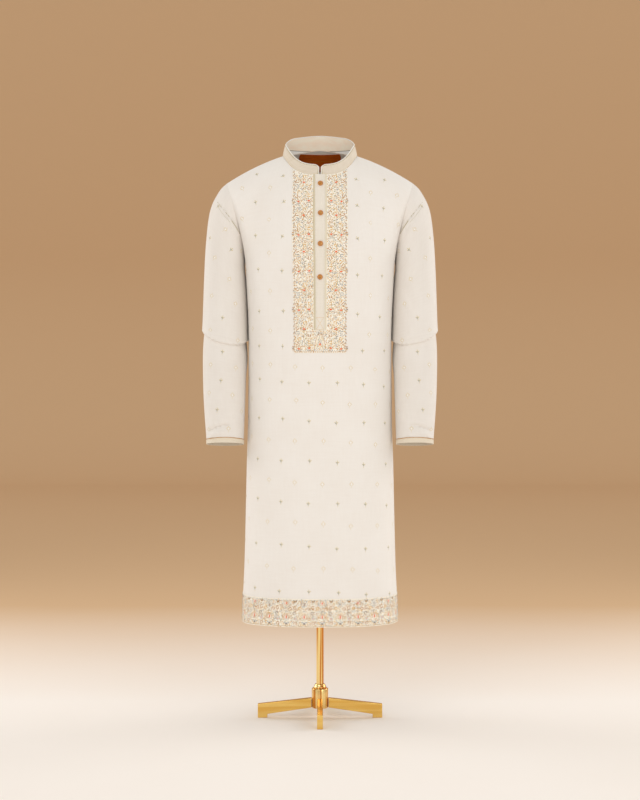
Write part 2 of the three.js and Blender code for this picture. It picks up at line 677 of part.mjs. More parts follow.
/** Hub, ferrule, pole and four legs. */
function addStand() {
  const { radius, bottomZ, topZ, bevel } = HUB;
  add('hub', turnedSolid([
    [0, bottomZ],
    [radius - bevel, bottomZ],
    [radius, bottomZ + bevel],
    [radius, topZ - bevel],
    [radius - bevel, topZ],
    [0, topZ],
  ]), 'brass');

  const bore = POLE_RADIUS + GAP;
  const bottom = topZ + GAP;
  add('ferrule', turnedSolid([
    [bore, bottom],
    [FERRULE.radius, bottom],
    [FERRULE.radius, bottom + bevel],
    [FERRULE.neckRadius, FERRULE.topZ],
    [bore, FERRULE.topZ],
    [bore, bottom],
  ]), 'brass');

  const poleTop = BAR.middleTopZ - 2 * BAR.halfHeight - GAP;
  add('pole', turnedSolid([
    [0, bottom],
    [POLE_RADIUS, bottom],
    [POLE_RADIUS, poleTop],
    [0, poleTop],
  ]), 'brass');

  const { hubLow, hubTop, footIn, footLow, footTop } = LEG_PROFILE;
  const start = radius + GAP;
  const shape = new THREE.Shape([
    new THREE.Vector2(start, hubLow),
    new THREE.Vector2(footIn, footLow),
    new THREE.Vector2(footIn, 0),
    new THREE.Vector2(FOOT_REACH, 0),
    new THREE.Vector2(FOOT_REACH, footTop),
    new THREE.Vector2(start, hubTop),
  ]);
  const depth = LEG_WIDTH - 2 * LEG_BEVEL;
  const bevelled = { bevelSize: LEG_BEVEL, bevelThickness: LEG_BEVEL, bevelOffset: -LEG_BEVEL };
  ['leg_right', 'leg_back', 'leg_left', 'leg_front'].forEach((name, k) => {
    const leg = new THREE.ExtrudeGeometry(shape, { depth, bevelSegments: 1, ...bevelled });
    leg.translate(0, 0, -depth / 2).rotateX(Math.PI / 2).rotateZ((k * Math.PI) / 2);
    add(name, leg, 'brass');
  });
}

addPanels();
addLayers();
addSleeves();
addCollar();
addShoulderBar();
addStand();

export default group;
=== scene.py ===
"""A long-sleeved panjabi with an embroidered bib and hem border, on a pole stand with crossed feet.

Sizes are in millimetres and meshes in metres. +Z is up and the garment's front faces -Y. Left and
right are as seen from the front. Every cloth piece is a thin wall on one smooth sheet, and the
embroidery is raised thread on that same sheet.
"""

import logging
import math
from collections.abc import Callable, Sequence
from dataclasses import dataclass, field
from enum import Enum

import bpy
import numpy as np
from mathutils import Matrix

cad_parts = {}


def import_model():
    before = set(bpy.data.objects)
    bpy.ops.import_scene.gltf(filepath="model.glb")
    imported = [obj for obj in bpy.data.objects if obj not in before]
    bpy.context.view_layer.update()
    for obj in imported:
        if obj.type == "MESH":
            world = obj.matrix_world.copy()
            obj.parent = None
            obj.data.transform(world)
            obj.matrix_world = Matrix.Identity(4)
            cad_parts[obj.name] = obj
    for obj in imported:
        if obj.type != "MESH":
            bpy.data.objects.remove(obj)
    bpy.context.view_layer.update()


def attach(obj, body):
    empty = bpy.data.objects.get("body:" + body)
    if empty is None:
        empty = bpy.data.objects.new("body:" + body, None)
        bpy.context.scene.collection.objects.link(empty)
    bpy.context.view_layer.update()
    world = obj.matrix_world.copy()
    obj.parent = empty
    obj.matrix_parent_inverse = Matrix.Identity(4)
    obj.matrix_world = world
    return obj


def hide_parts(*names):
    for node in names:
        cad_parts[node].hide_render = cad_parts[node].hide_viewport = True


Array = np.ndarray
METRE = 0.001
ROOT = "root"
log = logging.getLogger("panjabi")


# ---------------------------------------------------------------- curves and tables


def squared(value: Array, exponent: float) -> Array:
    """Sine or cosine to the power 2 / exponent, with its sign kept, which squares an ellipse off."""
    return np.sign(value) * np.abs(value) ** (2 / exponent)


def ease(start: float, end: float, at: Array) -> Array:
    """3t² - 2t³ of the part t of the way from start to end, 0 before and 1 after."""
    t = np.clip((np.asarray(at, float) - start) / (end - start), 0, 1)
    return t * t * (3 - 2 * t)


def mix(a: Array, b: Array, t: Array) -> Array:
    """a + (b - a) t."""
    return a + (b - a) * t


def hermite(a: Array, b: Array, leave: Array, arrive: Array, t: Array) -> Array:
    """Cubic from a to b: a + (b - a)(3t² - 2t³) + leave t(1 - t)² - arrive t²(1 - t)."""
    return a + (b - a) * t * t * (3 - 2 * t) + leave * t * (1 - t) ** 2 - arrive * t * t * (1 - t)


def look_up(table: Array, at: Array) -> Array:
    """Values of a table on a smooth curve through its rows.

    Args:
        table: rows of a key and its values, by rising key.
        at: keys to look up.

    Returns:
        The values, with one more axis than at. Between two rows it is the cubic whose slope at each
        row is that of the line between the row's neighbours.
    """
    keys, values = table[:, 0], table[:, 1:]
    at = np.asarray(at, float)
    last = len(keys) - 1
    low = np.clip(np.searchsorted(keys, at, side="left") - 1, 0, last - 1)
    before, after = np.maximum(low - 1, 0), np.minimum(low + 2, last)
    span = (keys[low + 1] - keys[low])[..., None]
    leave = (values[low + 1] - values[before]) / (keys[low + 1] - keys[before])[..., None]
    arrive = (values[after] - values[low]) / (keys[after] - keys[low])[..., None]
    t = (at[..., None] - keys[low][..., None]) / span
    return hermite(values[low], values[low + 1], leave * span, arrive * span, t)


def angle_at(x: Array, half_width: Array, exponent: float) -> Array:
    """Angle in degrees at which a squared ellipse has that half width: asin((x / w)^(e / 2))."""
    return np.degrees(np.arcsin(np.clip(np.abs(x) / half_width, 0, 1) ** (exponent / 2)))


def unit(vectors: Array) -> Array:
    """Vectors divided by their lengths."""
    return vectors / np.maximum(np.linalg.norm(vectors, axis=-1, keepdims=True), 1e-12)


def point(x: Array, y: Array, z: Array) -> Array:
    """Points from their three coordinates, which may be of different shapes."""
    return np.stack(np.broadcast_arrays(x, y, z), axis=-1)


def lengths_along(line: Array) -> Array:
    """Distance along a line of points to each of them."""
    return np.concatenate([[0], np.cumsum(np.linalg.norm(np.diff(line, axis=0), axis=1))])


def grid_lengths(at: Array, axis: int) -> Array:
    """Distance along an axis of a grid of points, from its first row or column to each point."""
    first = np.take(at, [0], axis=axis)
    return np.cumsum(np.linalg.norm(np.diff(at, axis=axis, prepend=first), axis=2), axis=axis)


def halved(low: Array, high: Array, short: Callable[[Array], Array], rounds: int) -> Array:
    """Where, between low and high, short turns from true to false, found by halving."""
    for _ in range(rounds):
        middle = (low + high) / 2
        under = short(middle)
        low, high = np.where(under, middle, low), np.where(under, high, middle)
    return low


# ---------------------------------------------------------------- meshes


def linked(name: str, data: bpy.types.ID) -> bpy.types.Object:
    """An object for a mesh, light or camera, in the scene's collection."""
    holder = bpy.data.objects.new(name, data)
    bpy.context.collection.objects.link(holder)
    return holder


@dataclass
class Form:
    """A mesh in the making: points in millimetres, faces, and for each face its UVs and finish."""

    points: Array
    faces: Array
    uv: Array
    finish: Array

    @staticmethod
    def of(points: Array, faces: Array, uv: Array) -> "Form":
        """A form all in its first finish."""
        return Form(points.reshape(-1, 3), faces, uv, np.zeros(len(faces), int))

    def turned(self) -> "Form":
        """The same form inside out."""
        return Form(self.points, self.faces[:, ::-1], self.uv[:, ::-1], self.finish)

    def build(self, name: str, finishes: Sequence[bpy.types.Material], sharp: float = 45) -> bpy.types.Object:
        """Makes the object.

        Args:
            name: the piece's name.
            finishes: materials, in the order that finish counts them.
            sharp: angle in degrees past which an edge stays crisp.

        Returns:
            The object, at the origin, riding the root body.
        """
        mesh = bpy.data.meshes.new(name)
        mesh.from_pydata((self.points * METRE).tolist(), [], self.faces.tolist())
        layer = mesh.uv_layers.new(name="cloth")
        layer.data.foreach_set("uv", (self.uv * METRE).reshape(-1).astype(np.float32))
        for finish in finishes:
            mesh.materials.append(finish)
        mesh.polygons.foreach_set("material_index", self.finish.astype(np.int32))
        mesh.polygons.foreach_set("use_smooth", np.ones(len(self.faces), bool))
        mesh.set_sharp_from_angle(angle=math.radians(sharp))
        mesh.validate()
        piece = linked(name, mesh)
        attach(piece, ROOT)
        return piece


def joined(forms: Sequence[Form]) -> Form:
    """Several forms of the same kind of face as one."""
    starts = np.cumsum([0] + [len(form.points) for form in forms[:-1]])
    return Form(
        np.concatenate([form.points for form in forms]),
        np.concatenate([form.faces + start for form, start in zip(forms, starts)]),
        np.concatenate([form.uv for form in forms]),
        np.concatenate([form.finish for form in forms]),
    )


def lattice(rows: int, columns: int, closed: bool = False) -> tuple[Array, Array]:
    """Corners of the cells of a grid, by point number and by UV number.

    Args:
        rows: rows of points.
        columns: columns of points.
        closed: joins the last column to the first. The UVs then have one column more.

    Returns:
        Two arrays of four corners a cell.
    """
    wide = columns if closed else columns - 1
    j, i = np.meshgrid(np.arange(rows - 1), np.arange(wide), indexing="ij")
    j, i = j.ravel(), i.ravel()
    corners = [(j, i), (j, i + 1), (j + 1, i + 1), (j + 1, i)]
    uv_wide = columns + closed
    faces = np.stack([a * columns + b % columns for a, b in corners], axis=1)
    return faces, np.stack([a * uv_wide + b for a, b in corners], axis=1)


def wall(outer: Array, inner: Array, uv: Array, closed: bool = False, lining: int = 0) -> Form:
    """A closed wall between two grids of points.

    Args:
        outer: points of the outer face, rows by columns, whose cross product of across and up points out.
        inner: points of the inner face.
        uv: cloth coordinates of the points, with one column more where closed.
        closed: joins the last column to the first.
        lining: number of the finish of the inner face.

    Returns:
        The wall, with its rims closed.
    """
    rows, columns = outer.shape[:2]
    count = rows * columns
    faces, corners = lattice(rows, columns, closed)
    flat_uv = uv.reshape(-1, 2)
    parts, uvs = [faces, faces[:, ::-1] + count], [flat_uv[corners], flat_uv[corners][:, ::-1]]

    def rim(line: Array, uv_line: Array) -> None:
        """Closes one edge, along a line of point numbers and one of UV numbers."""
        a, b = line[:-1], line[1:]
        parts.append(np.stack([a, a + count, b + count, b], axis=1))
        ends = flat_uv[uv_line]
        uvs.append(np.stack([ends[:-1], ends[:-1], ends[1:], ends[1:]], axis=1))

    uv_columns = uv.shape[1]
    low = np.arange(columns + closed)
    rim(low % columns, low)
    rim((low % columns + (rows - 1) * columns)[::-1], (low + (rows - 1) * uv_columns)[::-1])
    if not closed:
        side = np.arange(rows) * columns
        rim(side[::-1], side[::-1])
        rim(side + columns - 1, side + columns - 1)
    finish = np.concatenate([np.full(len(part), lining if k == 1 else 0) for k, part in enumerate(parts)])
    points = np.concatenate([outer.reshape(-1, 3), inner.reshape(-1, 3)])
    return Form(points, np.concatenate(parts), np.concatenate(uvs), finish)


def turned_solid(profile: Sequence[tuple[float, float]], sides: int) -> Form:
    """A solid turned about Z: (r cos a, r sin a, z) for each profile pair (r, z), bottom to top."""
    outline = np.array(profile, float)
    outline[:, 0] = np.maximum(outline[:, 0], 0.02)
    turn = np.linspace(0, 2 * np.pi, sides, endpoint=False)
    radius, height = outline[:, :1], outline[:, 1:]
    points = point(radius * np.cos(turn), radius * np.sin(turn), height)
    around = np.linspace(0, 2 * np.pi, sides + 1)
    uv = np.stack(np.broadcast_arrays(around * outline[:, 0].max(), lengths_along(outline)[:, None]), axis=-1)
    faces, corners = lattice(len(outline), sides, closed=True)
    ends = np.array([0, (len(outline) - 1) * sides])
    first = 1 + 2 * np.arange(sides // 2 - 1)
    fan = np.stack([np.zeros_like(first), first, first + 1, first + 2])
    caps = []
    for start, order in zip(ends, (-1, 1)):
        caps.append((fan.T + start)[:, ::order])
    uvs = np.concatenate([uv.reshape(-1, 2)[corners], np.zeros((sum(len(cap) for cap in caps), 4, 2))])
    return Form.of(points, np.concatenate([faces, *caps]), uvs)


def tube(path: Array, side: Array, radius: float, sides: int) -> Form:
    """A round cord: path + radius (cos a s + sin a (t × s)), t along the path and s its side vector."""
    along = unit(np.gradient(path, axis=0))
    side = unit(side - along * np.sum(side * along, axis=1, keepdims=True))
    other = np.cross(along, side)
    turn = np.linspace(0, 2 * np.pi, sides, endpoint=False)[None, :, None]
    rings = path[:, None] + radius * (np.cos(turn) * side[:, None] + np.sin(turn) * other[:, None])
    tip = np.stack([path[0], path[-1]])[:, None].repeat(sides, axis=1)
    tip = tip + 0.05 * (rings[[0, -1]] - tip)
    rings = np.concatenate([tip[:1], rings, tip[1:]])
    length = np.pad(lengths_along(path), 1, mode="edge")
    around = np.linspace(0, 2 * np.pi * radius, sides + 1)
    uv = np.stack(np.broadcast_arrays(around, length[:, None]), axis=-1)
    faces, corners = lattice(len(rings), sides, closed=True)
    return Form.of(rings, faces, uv.reshape(-1, 2)[corners])


# ---------------------------------------------------------------- folds


@dataclass(frozen=True)
class Fold:
    """A soft ridge (depth above 0) or trough along a curve on the cloth, seen square on.

    The cloth moves out by depth · exp(-(d / width)²), faded out at both ends, where d is the distance
    from the curve. With an edge, the cloth below the curve also drops by edge and comes back over width.
    """

    path: tuple[tuple[float, float], ...]
    depth: float
    width: float
    edge: float = 0.0
    steps: int = 14

    def line(self) -> Array:
        """The curve through the path's points, a polynomial in the distance along them."""
        knots = np.array(self.path, float)
        along = lengths_along(knots)
        along /= along[-1]
        power = min(len(knots) - 1, 3)
        t = np.linspace(0, 1, self.steps + 1)
        return np.stack([np.polyval(np.polyfit(along, knots[:, k], power), t) for k in (0, 1)], axis=1)

    def move(self, x: Array, z: Array) -> Array:
        """How far the cloth moves out at each place (x, z)."""
        line = self.line()
        moved = np.zeros(np.broadcast(x, z).shape)
        x, z = np.broadcast_arrays(x, z)
        reach = 3.2 * self.width
        low, high = line.min(axis=0) - reach, line.max(axis=0) + reach
        near = (x > low[0]) & (x < high[0]) & (z > low[1]) & (z < high[1])
        if not near.any():
            return moved
        at = np.stack([x[near], z[near]], axis=-1)[:, None]
        start, step = line[:-1], np.diff(line, axis=0)
        part = np.clip(((at - start) * step).sum(-1) / (step**2).sum(-1), 0, 1)
        off = at - start - part[..., None] * step
        distance = np.linalg.norm(off, axis=-1)
        nearest = distance.argmin(axis=1)
        pick = np.arange(len(nearest))
        d = distance[pick, nearest]
        along = (nearest + part[pick, nearest]) / self.steps
        fade = ease(0, 0.28, along) * ease(1, 0.72, along)
        value = self.depth * np.exp(-((d / self.width) ** 2))
        if self.edge:
            below = (step[nearest, 0] * off[pick, nearest, 1] - step[nearest, 1] * off[pick, nearest, 0]) < 0
            value = value - np.where(below, self.edge * np.exp(-d / (0.6 * self.width)), 0)
        moved[near] = value * fade
        return moved


def folded(folds: Sequence[Fold], x: Array, z: Array) -> Array:
    """The sum of what the folds move the cloth out by."""
    return sum((fold.move(x, z) for fold in folds), np.zeros(np.broadcast(x, z).shape))


# ---------------------------------------------------------------- the body's sheets

HEM_Z, ARMPIT_Z = 226.0, 1046.0
BODY_EXPONENT, NECK_EXPONENT, SLEEVE_EXPONENT = 2.5, 2.2, 2.2
BODY_ROWS = np.array([
    # height, half width, half depth
    [226, 178.3, 134],
    [262, 177.6, 133.5],
    [361, 173.2, 131],
    [603, 167.6, 127],
    [680, 165.2, 126],
    [890, 164.2, 127],
    [1005, 169.4, 129],
    [1046, 171.8, 129],
])
CHEST_HALF_WIDTH = 171.8
NECK_HALF_WIDTH, NECK_POINT_Z, NECK_POINT_ANGLE = 86.0, 1290.0, 30.0
SHOULDER_TIP_X, SHOULDER_Y, SHOULDER_SLOPE, SHOULDER_CURVE = 213.5, 5.0, 0.33, 0.00125
NECK_STEPS, SHOULDER_STEPS = 4, 7
ARMHOLE_PULL, SHOULDER_PULL = 196.0, 300.0
SEAM = 0.02
ARMHOLE_GAP = 0.1
PROBE = 1e-3
BODY_COLUMNS, FINE_COLUMNS = 149, 1201


def body_row(z: Array) -> Array:
    """Row of a height below the armpits."""
    return (z - HEM_Z) / (ARMPIT_Z - HEM_Z)


def shoulder_z(x: Array, crown: float = 0) -> Array:
    """Height of the shoulder line: it falls as .33 b + .00125 b² past the neck point, b beyond it."""
    beyond = np.maximum(x - NECK_HALF_WIDTH, 0)
    rest = np.maximum(1 - (x / NECK_HALF_WIDTH) ** 2, 0)
    inside = SHOULDER_SLOPE * NECK_HALF_WIDTH * rest / 2 + crown * rest**2
    return NECK_POINT_Z - SHOULDER_SLOPE * beyond - SHOULDER_CURVE * beyond**2 + inside


@dataclass(frozen=True)
class Drape:
    """A drape that hangs from the hip: where it lies in degrees, how wide and deep, and where it starts."""

    at: float
    spread: float
    depth: float
    top_z: float


@dataclass
class Panel:
    """Front or back of the body: a sheet over columns, side to side, and rows: hem 0, armpit 1, neck 2."""

    facing: int
    edges: tuple[tuple[float, int], ...]
    seam_z: float
    seam_power: float
    crown: float
    pull: float
    drapes: tuple[Drape, ...]
    folds: tuple[Fold, ...]
    yoke_rows: Array
    neck_column: int = field(init=False)
    side_column: int = field(init=False)

    def __post_init__(self) -> None:
        """Works out the columns' angles and the neck seam."""
        x = np.array([edge for edge, _ in self.edges])
        steps = [steps for _, steps in self.edges] + [NECK_STEPS]
        self.knots = np.concatenate([[0], np.cumsum(steps)])
        self.body_angles = np.array([0, *angle_at(x, CHEST_HALF_WIDTH, BODY_EXPONENT), NECK_POINT_ANGLE])
        self.neck_angles = np.array([0, *angle_at(x, NECK_HALF_WIDTH, NECK_EXPONENT), 90])
        self.neck_column = int(self.knots[-1])
        self.side_column = self.neck_column + SHOULDER_STEPS
        distance = np.linspace(0, self.neck_column - 1e-6, 400)

        def below_seam(part: Array) -> Array:
            """Whether the yoke is still below the neck seam at a part of its height."""
            at = self.yoke(distance, part)
            return at[:, 2] < self.neck_seam_z(at[:, 0])

        seam = halved(np.full(400, 0.3), np.ones(400), below_seam, 40)
        self.seam_table = (np.append(distance, self.neck_column), np.append(seam, 1.0))

    def place(self, column: Array) -> tuple[Array, Array, Array]:
        """Angle on the body ring, angle on the neck seam, and part of the shoulder, of each column."""
        distance = np.abs(column)
        shoulder = np.clip((distance - self.neck_column) / SHOULDER_STEPS, 0, 1)
        body = np.interp(distance, self.knots, self.body_angles)
        body = np.where(shoulder > 0, mix(NECK_POINT_ANGLE, 90, shoulder), body)
        return body, np.interp(distance, self.knots, self.neck_angles), shoulder

    def ring(self, angle: Array, z: Array) -> Array:
        """Body ring at a height: a squared ellipse, moved out by the sum of the drapes' bell curves."""
        widths = look_up(BODY_ROWS, z)
        x = squared(np.sin(np.radians(angle)), BODY_EXPONENT) * widths[..., 0]
        y = squared(np.cos(np.radians(angle)), BODY_EXPONENT) * widths[..., 1]
        swell = sum(
            drape.depth * np.exp(-(((angle - drape.at) / drape.spread) ** 2))
            * (1 - ease(HEM_Z, drape.top_z, z))
            for drape in self.drapes
        )
        scale = 1 + swell / np.hypot(x, y)
        return point(x * scale, self.facing * (y * scale + SEAM), z)

    def neck_seam_z(self, x: Array) -> Array:
        """Height of the neck seam: seam_z + (neck point - seam_z) (x / half width)^power."""
        rise = NECK_POINT_Z - self.seam_z
        return self.seam_z + rise * (np.abs(x) / NECK_HALF_WIDTH) ** self.seam_power

    def yoke(self, column: Array, part: Array) -> Array:
        """Sheet above the armpits: a cubic up each column, from the body ring to the shoulder line."""
        column, part = np.broadcast_arrays(np.asarray(column, float), np.asarray(part, float))
        side = np.where(column < 0, -1.0, 1.0)
        body, neck, shoulder = self.place(column)
        start = self.ring(side * body, np.full(column.shape, ARMPIT_Z))
        x = mix(squared(np.sin(np.radians(neck)), NECK_EXPONENT) * NECK_HALF_WIDTH, SHOULDER_TIP_X, shoulder)
        end = point(side * x, SHOULDER_Y + self.facing * SEAM, shoulder_z(x, self.crown))
        toward = ease(50, 90, body)
        leave = point(side * 8, self.facing * ARMHOLE_PULL * toward, mix(self.pull, ARMHOLE_PULL, toward))
        arrive = point(0, -self.facing * SHOULDER_PULL, 0)
        return hermite(start, end, leave, arrive, part[..., None])

    def surface(self, column: Array, row: Array) -> Array:
        """Point of the plain sheet."""
        column, row = np.broadcast_arrays(np.asarray(column, float), np.asarray(row, float))
        body = self.place(column)[0] * np.where(column < 0, -1.0, 1.0)
        below = self.ring(body, mix(HEM_Z, ARMPIT_Z, np.clip(row, 0, 1)))
        part = np.clip(row - 1, 0, 1) * np.interp(np.abs(column), *self.seam_table)
        return np.where((row > 1)[..., None], self.yoke(column, part), below)

    def steps(self, sheet: Callable[[Array, Array], Array], column: Array, row: Array) -> tuple[Array, Array]:
        """Unit vectors of a sheet at its points, across and up, from a small step each way."""
        low, high = -self.side_column, self.side_column
        across = sheet(np.minimum(column + PROBE, high), row) - sheet(np.maximum(column - PROBE, low), row)
        up = sheet(column, np.minimum(row + PROBE, 2)) - sheet(column, np.maximum(row - PROBE, 0))
        return unit(across), unit(up)

    def cloth(self, column: Array, row: Array) -> Array:
        """Point of the sheet with its folds."""
        at = self.surface(column, row)
        across, up = self.steps(self.surface, column, row)
        out = unit(np.cross(across, up)) * -self.facing
        return at + out * folded(self.folds, at[..., 0], at[..., 2])[..., None]

    def frame(self, column: Array, row: Array) -> tuple[Array, Array, Array, Array]:
        """Point, and unit vectors across, up and out, of the folded sheet."""
        column, row = np.broadcast_arrays(np.asarray(column, float), np.asarray(row, float))
        across, up = self.steps(self.cloth, column, row)
        out = unit(np.cross(across, up)) * -self.facing
        return self.cloth(column, row), across, unit(up - across * (across * up).sum(-1, keepdims=True)), out

    def column_at(self, x: Array, z: Array) -> Array:
        """Column that stands at x on the body ring of that height."""
        half_width = look_up(BODY_ROWS, np.minimum(z, ARMPIT_Z))[..., 0]
        angle = angle_at(x, half_width, BODY_EXPONENT)
        knots = np.concatenate([self.knots, [self.side_column]])
        return np.sign(x) * np.interp(angle, np.append(self.body_angles, 90), knots)

    def row_at(self, column: Array, z: Array) -> Array:
        """Row at which a column reaches a height, by halving."""
        ends = np.zeros(np.shape(z)), np.full(np.shape(z), 2.0)
        return halved(*ends, lambda row: self.surface(column, row)[..., 2] < z, 26)

    def fine(self) -> Array:
        """A fine row of columns from side to side."""
        return np.linspace(-self.side_column, self.side_column, FINE_COLUMNS)

    def columns(self, count: int) -> Array:
        """Columns an equal arc apart on the body ring."""
        fine = self.fine()
        arc = self.arc(fine, ARMPIT_Z)
        return np.interp(np.linspace(arc[0], arc[-1], count), arc, fine)

    def arc(self, fine: Array, z: float) -> Array:
        """Distance round the body ring from the centre to each of a fine row of columns."""
        side = np.where(fine < 0, -1.0, 1.0)
        ring = self.ring(side * self.place(fine)[0], np.full(fine.shape, z))
        along = lengths_along(ring)
        return along - np.interp(0, fine, along)

    def around(self, arc: Array, z: float) -> Array:
        """Columns at given distances round the body ring from the centre."""
        fine = self.fine()
        return np.interp(arc, self.arc(fine, z), fine)

    def layer(self, columns: Array, rows: Array, lift: Array, thickness: float) -> Form:
        """A wall on the sheet.

        Args:
            columns: columns of its grid.
            rows: rows of its grid.
            lift: how far its outer face stands off the sheet, one number or one for each grid point.
            thickness: its wall.

        Returns:
            The wall. Its UVs are the distance across from the centre and the distance up.
        """
        column, row = np.meshgrid(columns, rows)
        at, _, _, out = self.frame(column, row)
        lift = np.broadcast_to(lift, column.shape)[..., None]
        across = grid_lengths(at, 1)
        centre = np.array([np.interp(0, columns, line) for line in across])
        up = grid_lengths(at, 0)[:, len(columns) // 2, None]
        uv = np.stack(np.broadcast_arrays(across - centre[:, None], up), axis=-1)
        form = wall(at + out * lift, at + out * (lift - thickness), uv)
        return form if self.facing < 0 else form.turned()


FRONT = Panel(
    facing=-1,
    edges=((10.2, 1), (14.5, 1), (61, 2)),
    seam_z=1240,
    seam_power=3.3,
    crown=0,
    pull=220,
    drapes=(
        Drape(-62, 9, 2.4, 620), Drape(-31, 8, -1.6, 520), Drape(24, 9, 1.5, 560), Drape(57, 8, 2.6, 660),
    ),
    folds=(
        Fold(((-150, 1052), (-128, 1108), (-116, 1165)), -2.0, 12),
        Fold(((-136, 1020), (-108, 1072), (-94, 1118)), 1.3, 13),
        Fold(((148, 1056), (131, 1100), (112, 1158)), -1.8, 12),
        Fold(((140, 1010), (117, 1050), (98, 1104)), 1.5, 12),
        Fold(((-82, 905), (-84, 835), (-81, 752)), -1.3, 8),
        Fold(((-62, 872), (-61, 820), (-64, 772)), -0.9, 7),
        Fold(((88, 892), (91, 826), (87, 738)), -1.1, 9),
        Fold(((-118, 745), (-124, 640), (-121, 540)), 1.0, 14),
        Fold(((121, 700), (127, 590), (123, 500)), 0.9, 15),
        Fold(((122, 1182), (119, 1080), (113, 926)), -1.7, 8),
        Fold(((136, 1110), (128, 1036), (123, 930)), 1.2, 8),
        Fold(((-52, 1230), (-66, 1220), (-86, 1206)), -1.1, 5),
        Fold(((58, 1228), (70, 1206), (74, 1178)), -1.0, 5),
        Fold(((-140, 1178), (-163, 1200), (-190, 1204)), -1.0, 9),
        Fold(((139, 1184), (160, 1203), (186, 1208)), -0.9, 9),
    ),
    yoke_rows=np.linspace(0, 1, 11),
)
BACK = Panel(
    facing=1,
    edges=((49, 2), (61, 1)),
    seam_z=1308,
    seam_power=1.45,
    crown=18,
    pull=260,
    drapes=(
        Drape(-55, 9, 2.6, 700), Drape(-22, 10, -1.8, 640), Drape(18, 9, 2.2, 760), Drape(60, 8, 2.4, 600),
    ),
    folds=(
        Fold(((-146, 1058), (-124, 1112), (-92, 1160)), -2.2, 13),
        Fold(((-130, 1012), (-96, 1060), (-60, 1096)), 1.5, 14),
        Fold(((144, 1050), (126, 1104), (98, 1152)), -2.0, 12),
        Fold(((128, 1006), (102, 1046), (66, 1088)), 1.4, 14),
        Fold(((-34, 1080), (-38, 960), (-31, 820)), 1.4, 17),
        Fold(((41, 1060), (36, 930), (43, 800)), -1.3, 15),
        Fold(((2, 960), (6, 850), (0, 700)), 1.2, 17),
        Fold(((-96, 860), (-101, 760), (-95, 640)), -1.2, 12),
        Fold(((98, 900), (103, 770), (97, 660)), -1.4, 13),
        Fold(((-60, 1205), (0, 1190), (58, 1207)), -1.1, 13),
    ),
    yoke_rows=np.concatenate([np.linspace(0, 0.78, 8), [0.865, 0.95, 1]]),
)


# ---------------------------------------------------------------- finishes


def colour(red: int, green: int, blue: int) -> tuple[float, float, float, float]:
    """An sRGB colour as the linear light that a shader takes."""
    light = [value / 12.92 if value <= 0.04045 else ((value + 0.055) / 1.055) ** 2.4
             for value in (red / 255, green / 255, blue / 255)]
    return (*light, 1.0)


class Graph:
    """The nodes of one material, round its principled shader."""

    def __init__(self, name: str, **sockets: object) -> None:
        """Starts a material and sets the shader's own sockets by name, with _ for a space."""
        self.material = bpy.data.materials.new(name)
        self.material.use_nodes = True
        self.nodes = self.material.node_tree.nodes
        self.shader = next(node for node in self.nodes if node.type == "BSDF_PRINCIPLED")
        for socket, value in sockets.items():
            self.shader.inputs[socket.replace("_", " ")].default_value = value

    def add(self, kind: str, inputs: dict[object, object] | None = None,
            **settings: object) -> bpy.types.Node:
        """Adds a node.

        Args:
            kind: the node's type after "ShaderNode".
            inputs: values or output sockets for its inputs, by name or number.
            settings: its own properties.

        Returns:
            The node.
        """
        node = self.nodes.new("ShaderNode" + kind)
        for name, value in settings.items():
            setattr(node, name, value)
        for name, value in (inputs or {}).items():
            if isinstance(value, bpy.types.NodeSocket):
                self.material.node_tree.links.new(value, node.inputs[name])
            else:
                node.inputs[name].default_value = value
        return node

    def cloth_uv(self, scale: tuple[float, float, float] = (1, 1, 1)) -> bpy.types.NodeSocket:
        """Cloth coordinates in metres, scaled."""
        uv = self.add("UVMap", uv_map="cloth")
        return self.add("Mapping", {"Vector": uv.outputs[0], "Scale": scale}).outputs[0]

    def object_place(self, scale: tuple[float, float, float] = (1, 1, 1)) -> bpy.types.NodeSocket:
        """Object coordinates in metres, scaled."""
        place = self.add("TexCoord")
        return self.add("Mapping", {"Vector": place.outputs["Object"], "Scale": scale}).outputs[0]

    def bands(self, vector: bpy.types.NodeSocket, period: float, direction: str) -> bpy.types.NodeSocket:
        """Ribs that repeat every period in metres along X or Y."""
        inputs = {"Vector": vector, "Scale": 2 * math.pi / (20 * period)}
        return self.add("TexWave", inputs, wave_type="BANDS", bands_direction=direction).outputs["Fac"]

    def noise(self, vector: bpy.types.NodeSocket, scale: float, detail: float = 3) -> bpy.types.NodeSocket:
        """Smooth noise, that many lumps to a metre."""
        return self.add("TexNoise", {"Vector": vector, "Scale": scale, "Detail": detail}).outputs["Fac"]

    def math(self, kind: str, a: object, b: object) -> bpy.types.NodeSocket:
        """One sum on two values."""
        return self.add("Math", {0: a, 1: b}, operation=kind).outputs[0]

    def blend(self, part: object, a: object, b: object) -> bpy.types.NodeSocket:
        """A colour between two."""
        node = self.add("Mix", data_type="RGBA")
        for number, value in ((0, part), (6, a), (7, b)):
            if isinstance(value, bpy.types.NodeSocket):
                self.material.node_tree.links.new(value, node.inputs[number])
            else:
                node.inputs[number].default_value = value
        return node.outputs[2]

    def ramp(self, value: bpy.types.NodeSocket, low: float, high: float) -> bpy.types.NodeSocket:
        """0 below low, 1 above high."""
        return self.add("MapRange", {"Value": value, "From Min": low, "From Max": high}).outputs["Result"]

    def wear(self, colour_socket: object = None, height: object = None, rough: object = None,
             strength: float = 0.3, depth: float = 0.0004) -> bpy.types.Material:
        """Joins colour, bump height and roughness to the shader, and returns the material."""
        links = self.material.node_tree.links
        if colour_socket is not None:
            links.new(colour_socket, self.shader.inputs["Base Color"])
        if rough is not None:
            links.new(rough, self.shader.inputs["Roughness"])
        if height is not None:
            bump = self.add("Bump", {"Height": height, "Strength": strength, "Distance": depth})
            links.new(bump.outputs[0], self.shader.inputs["Normal"])
        return self.material


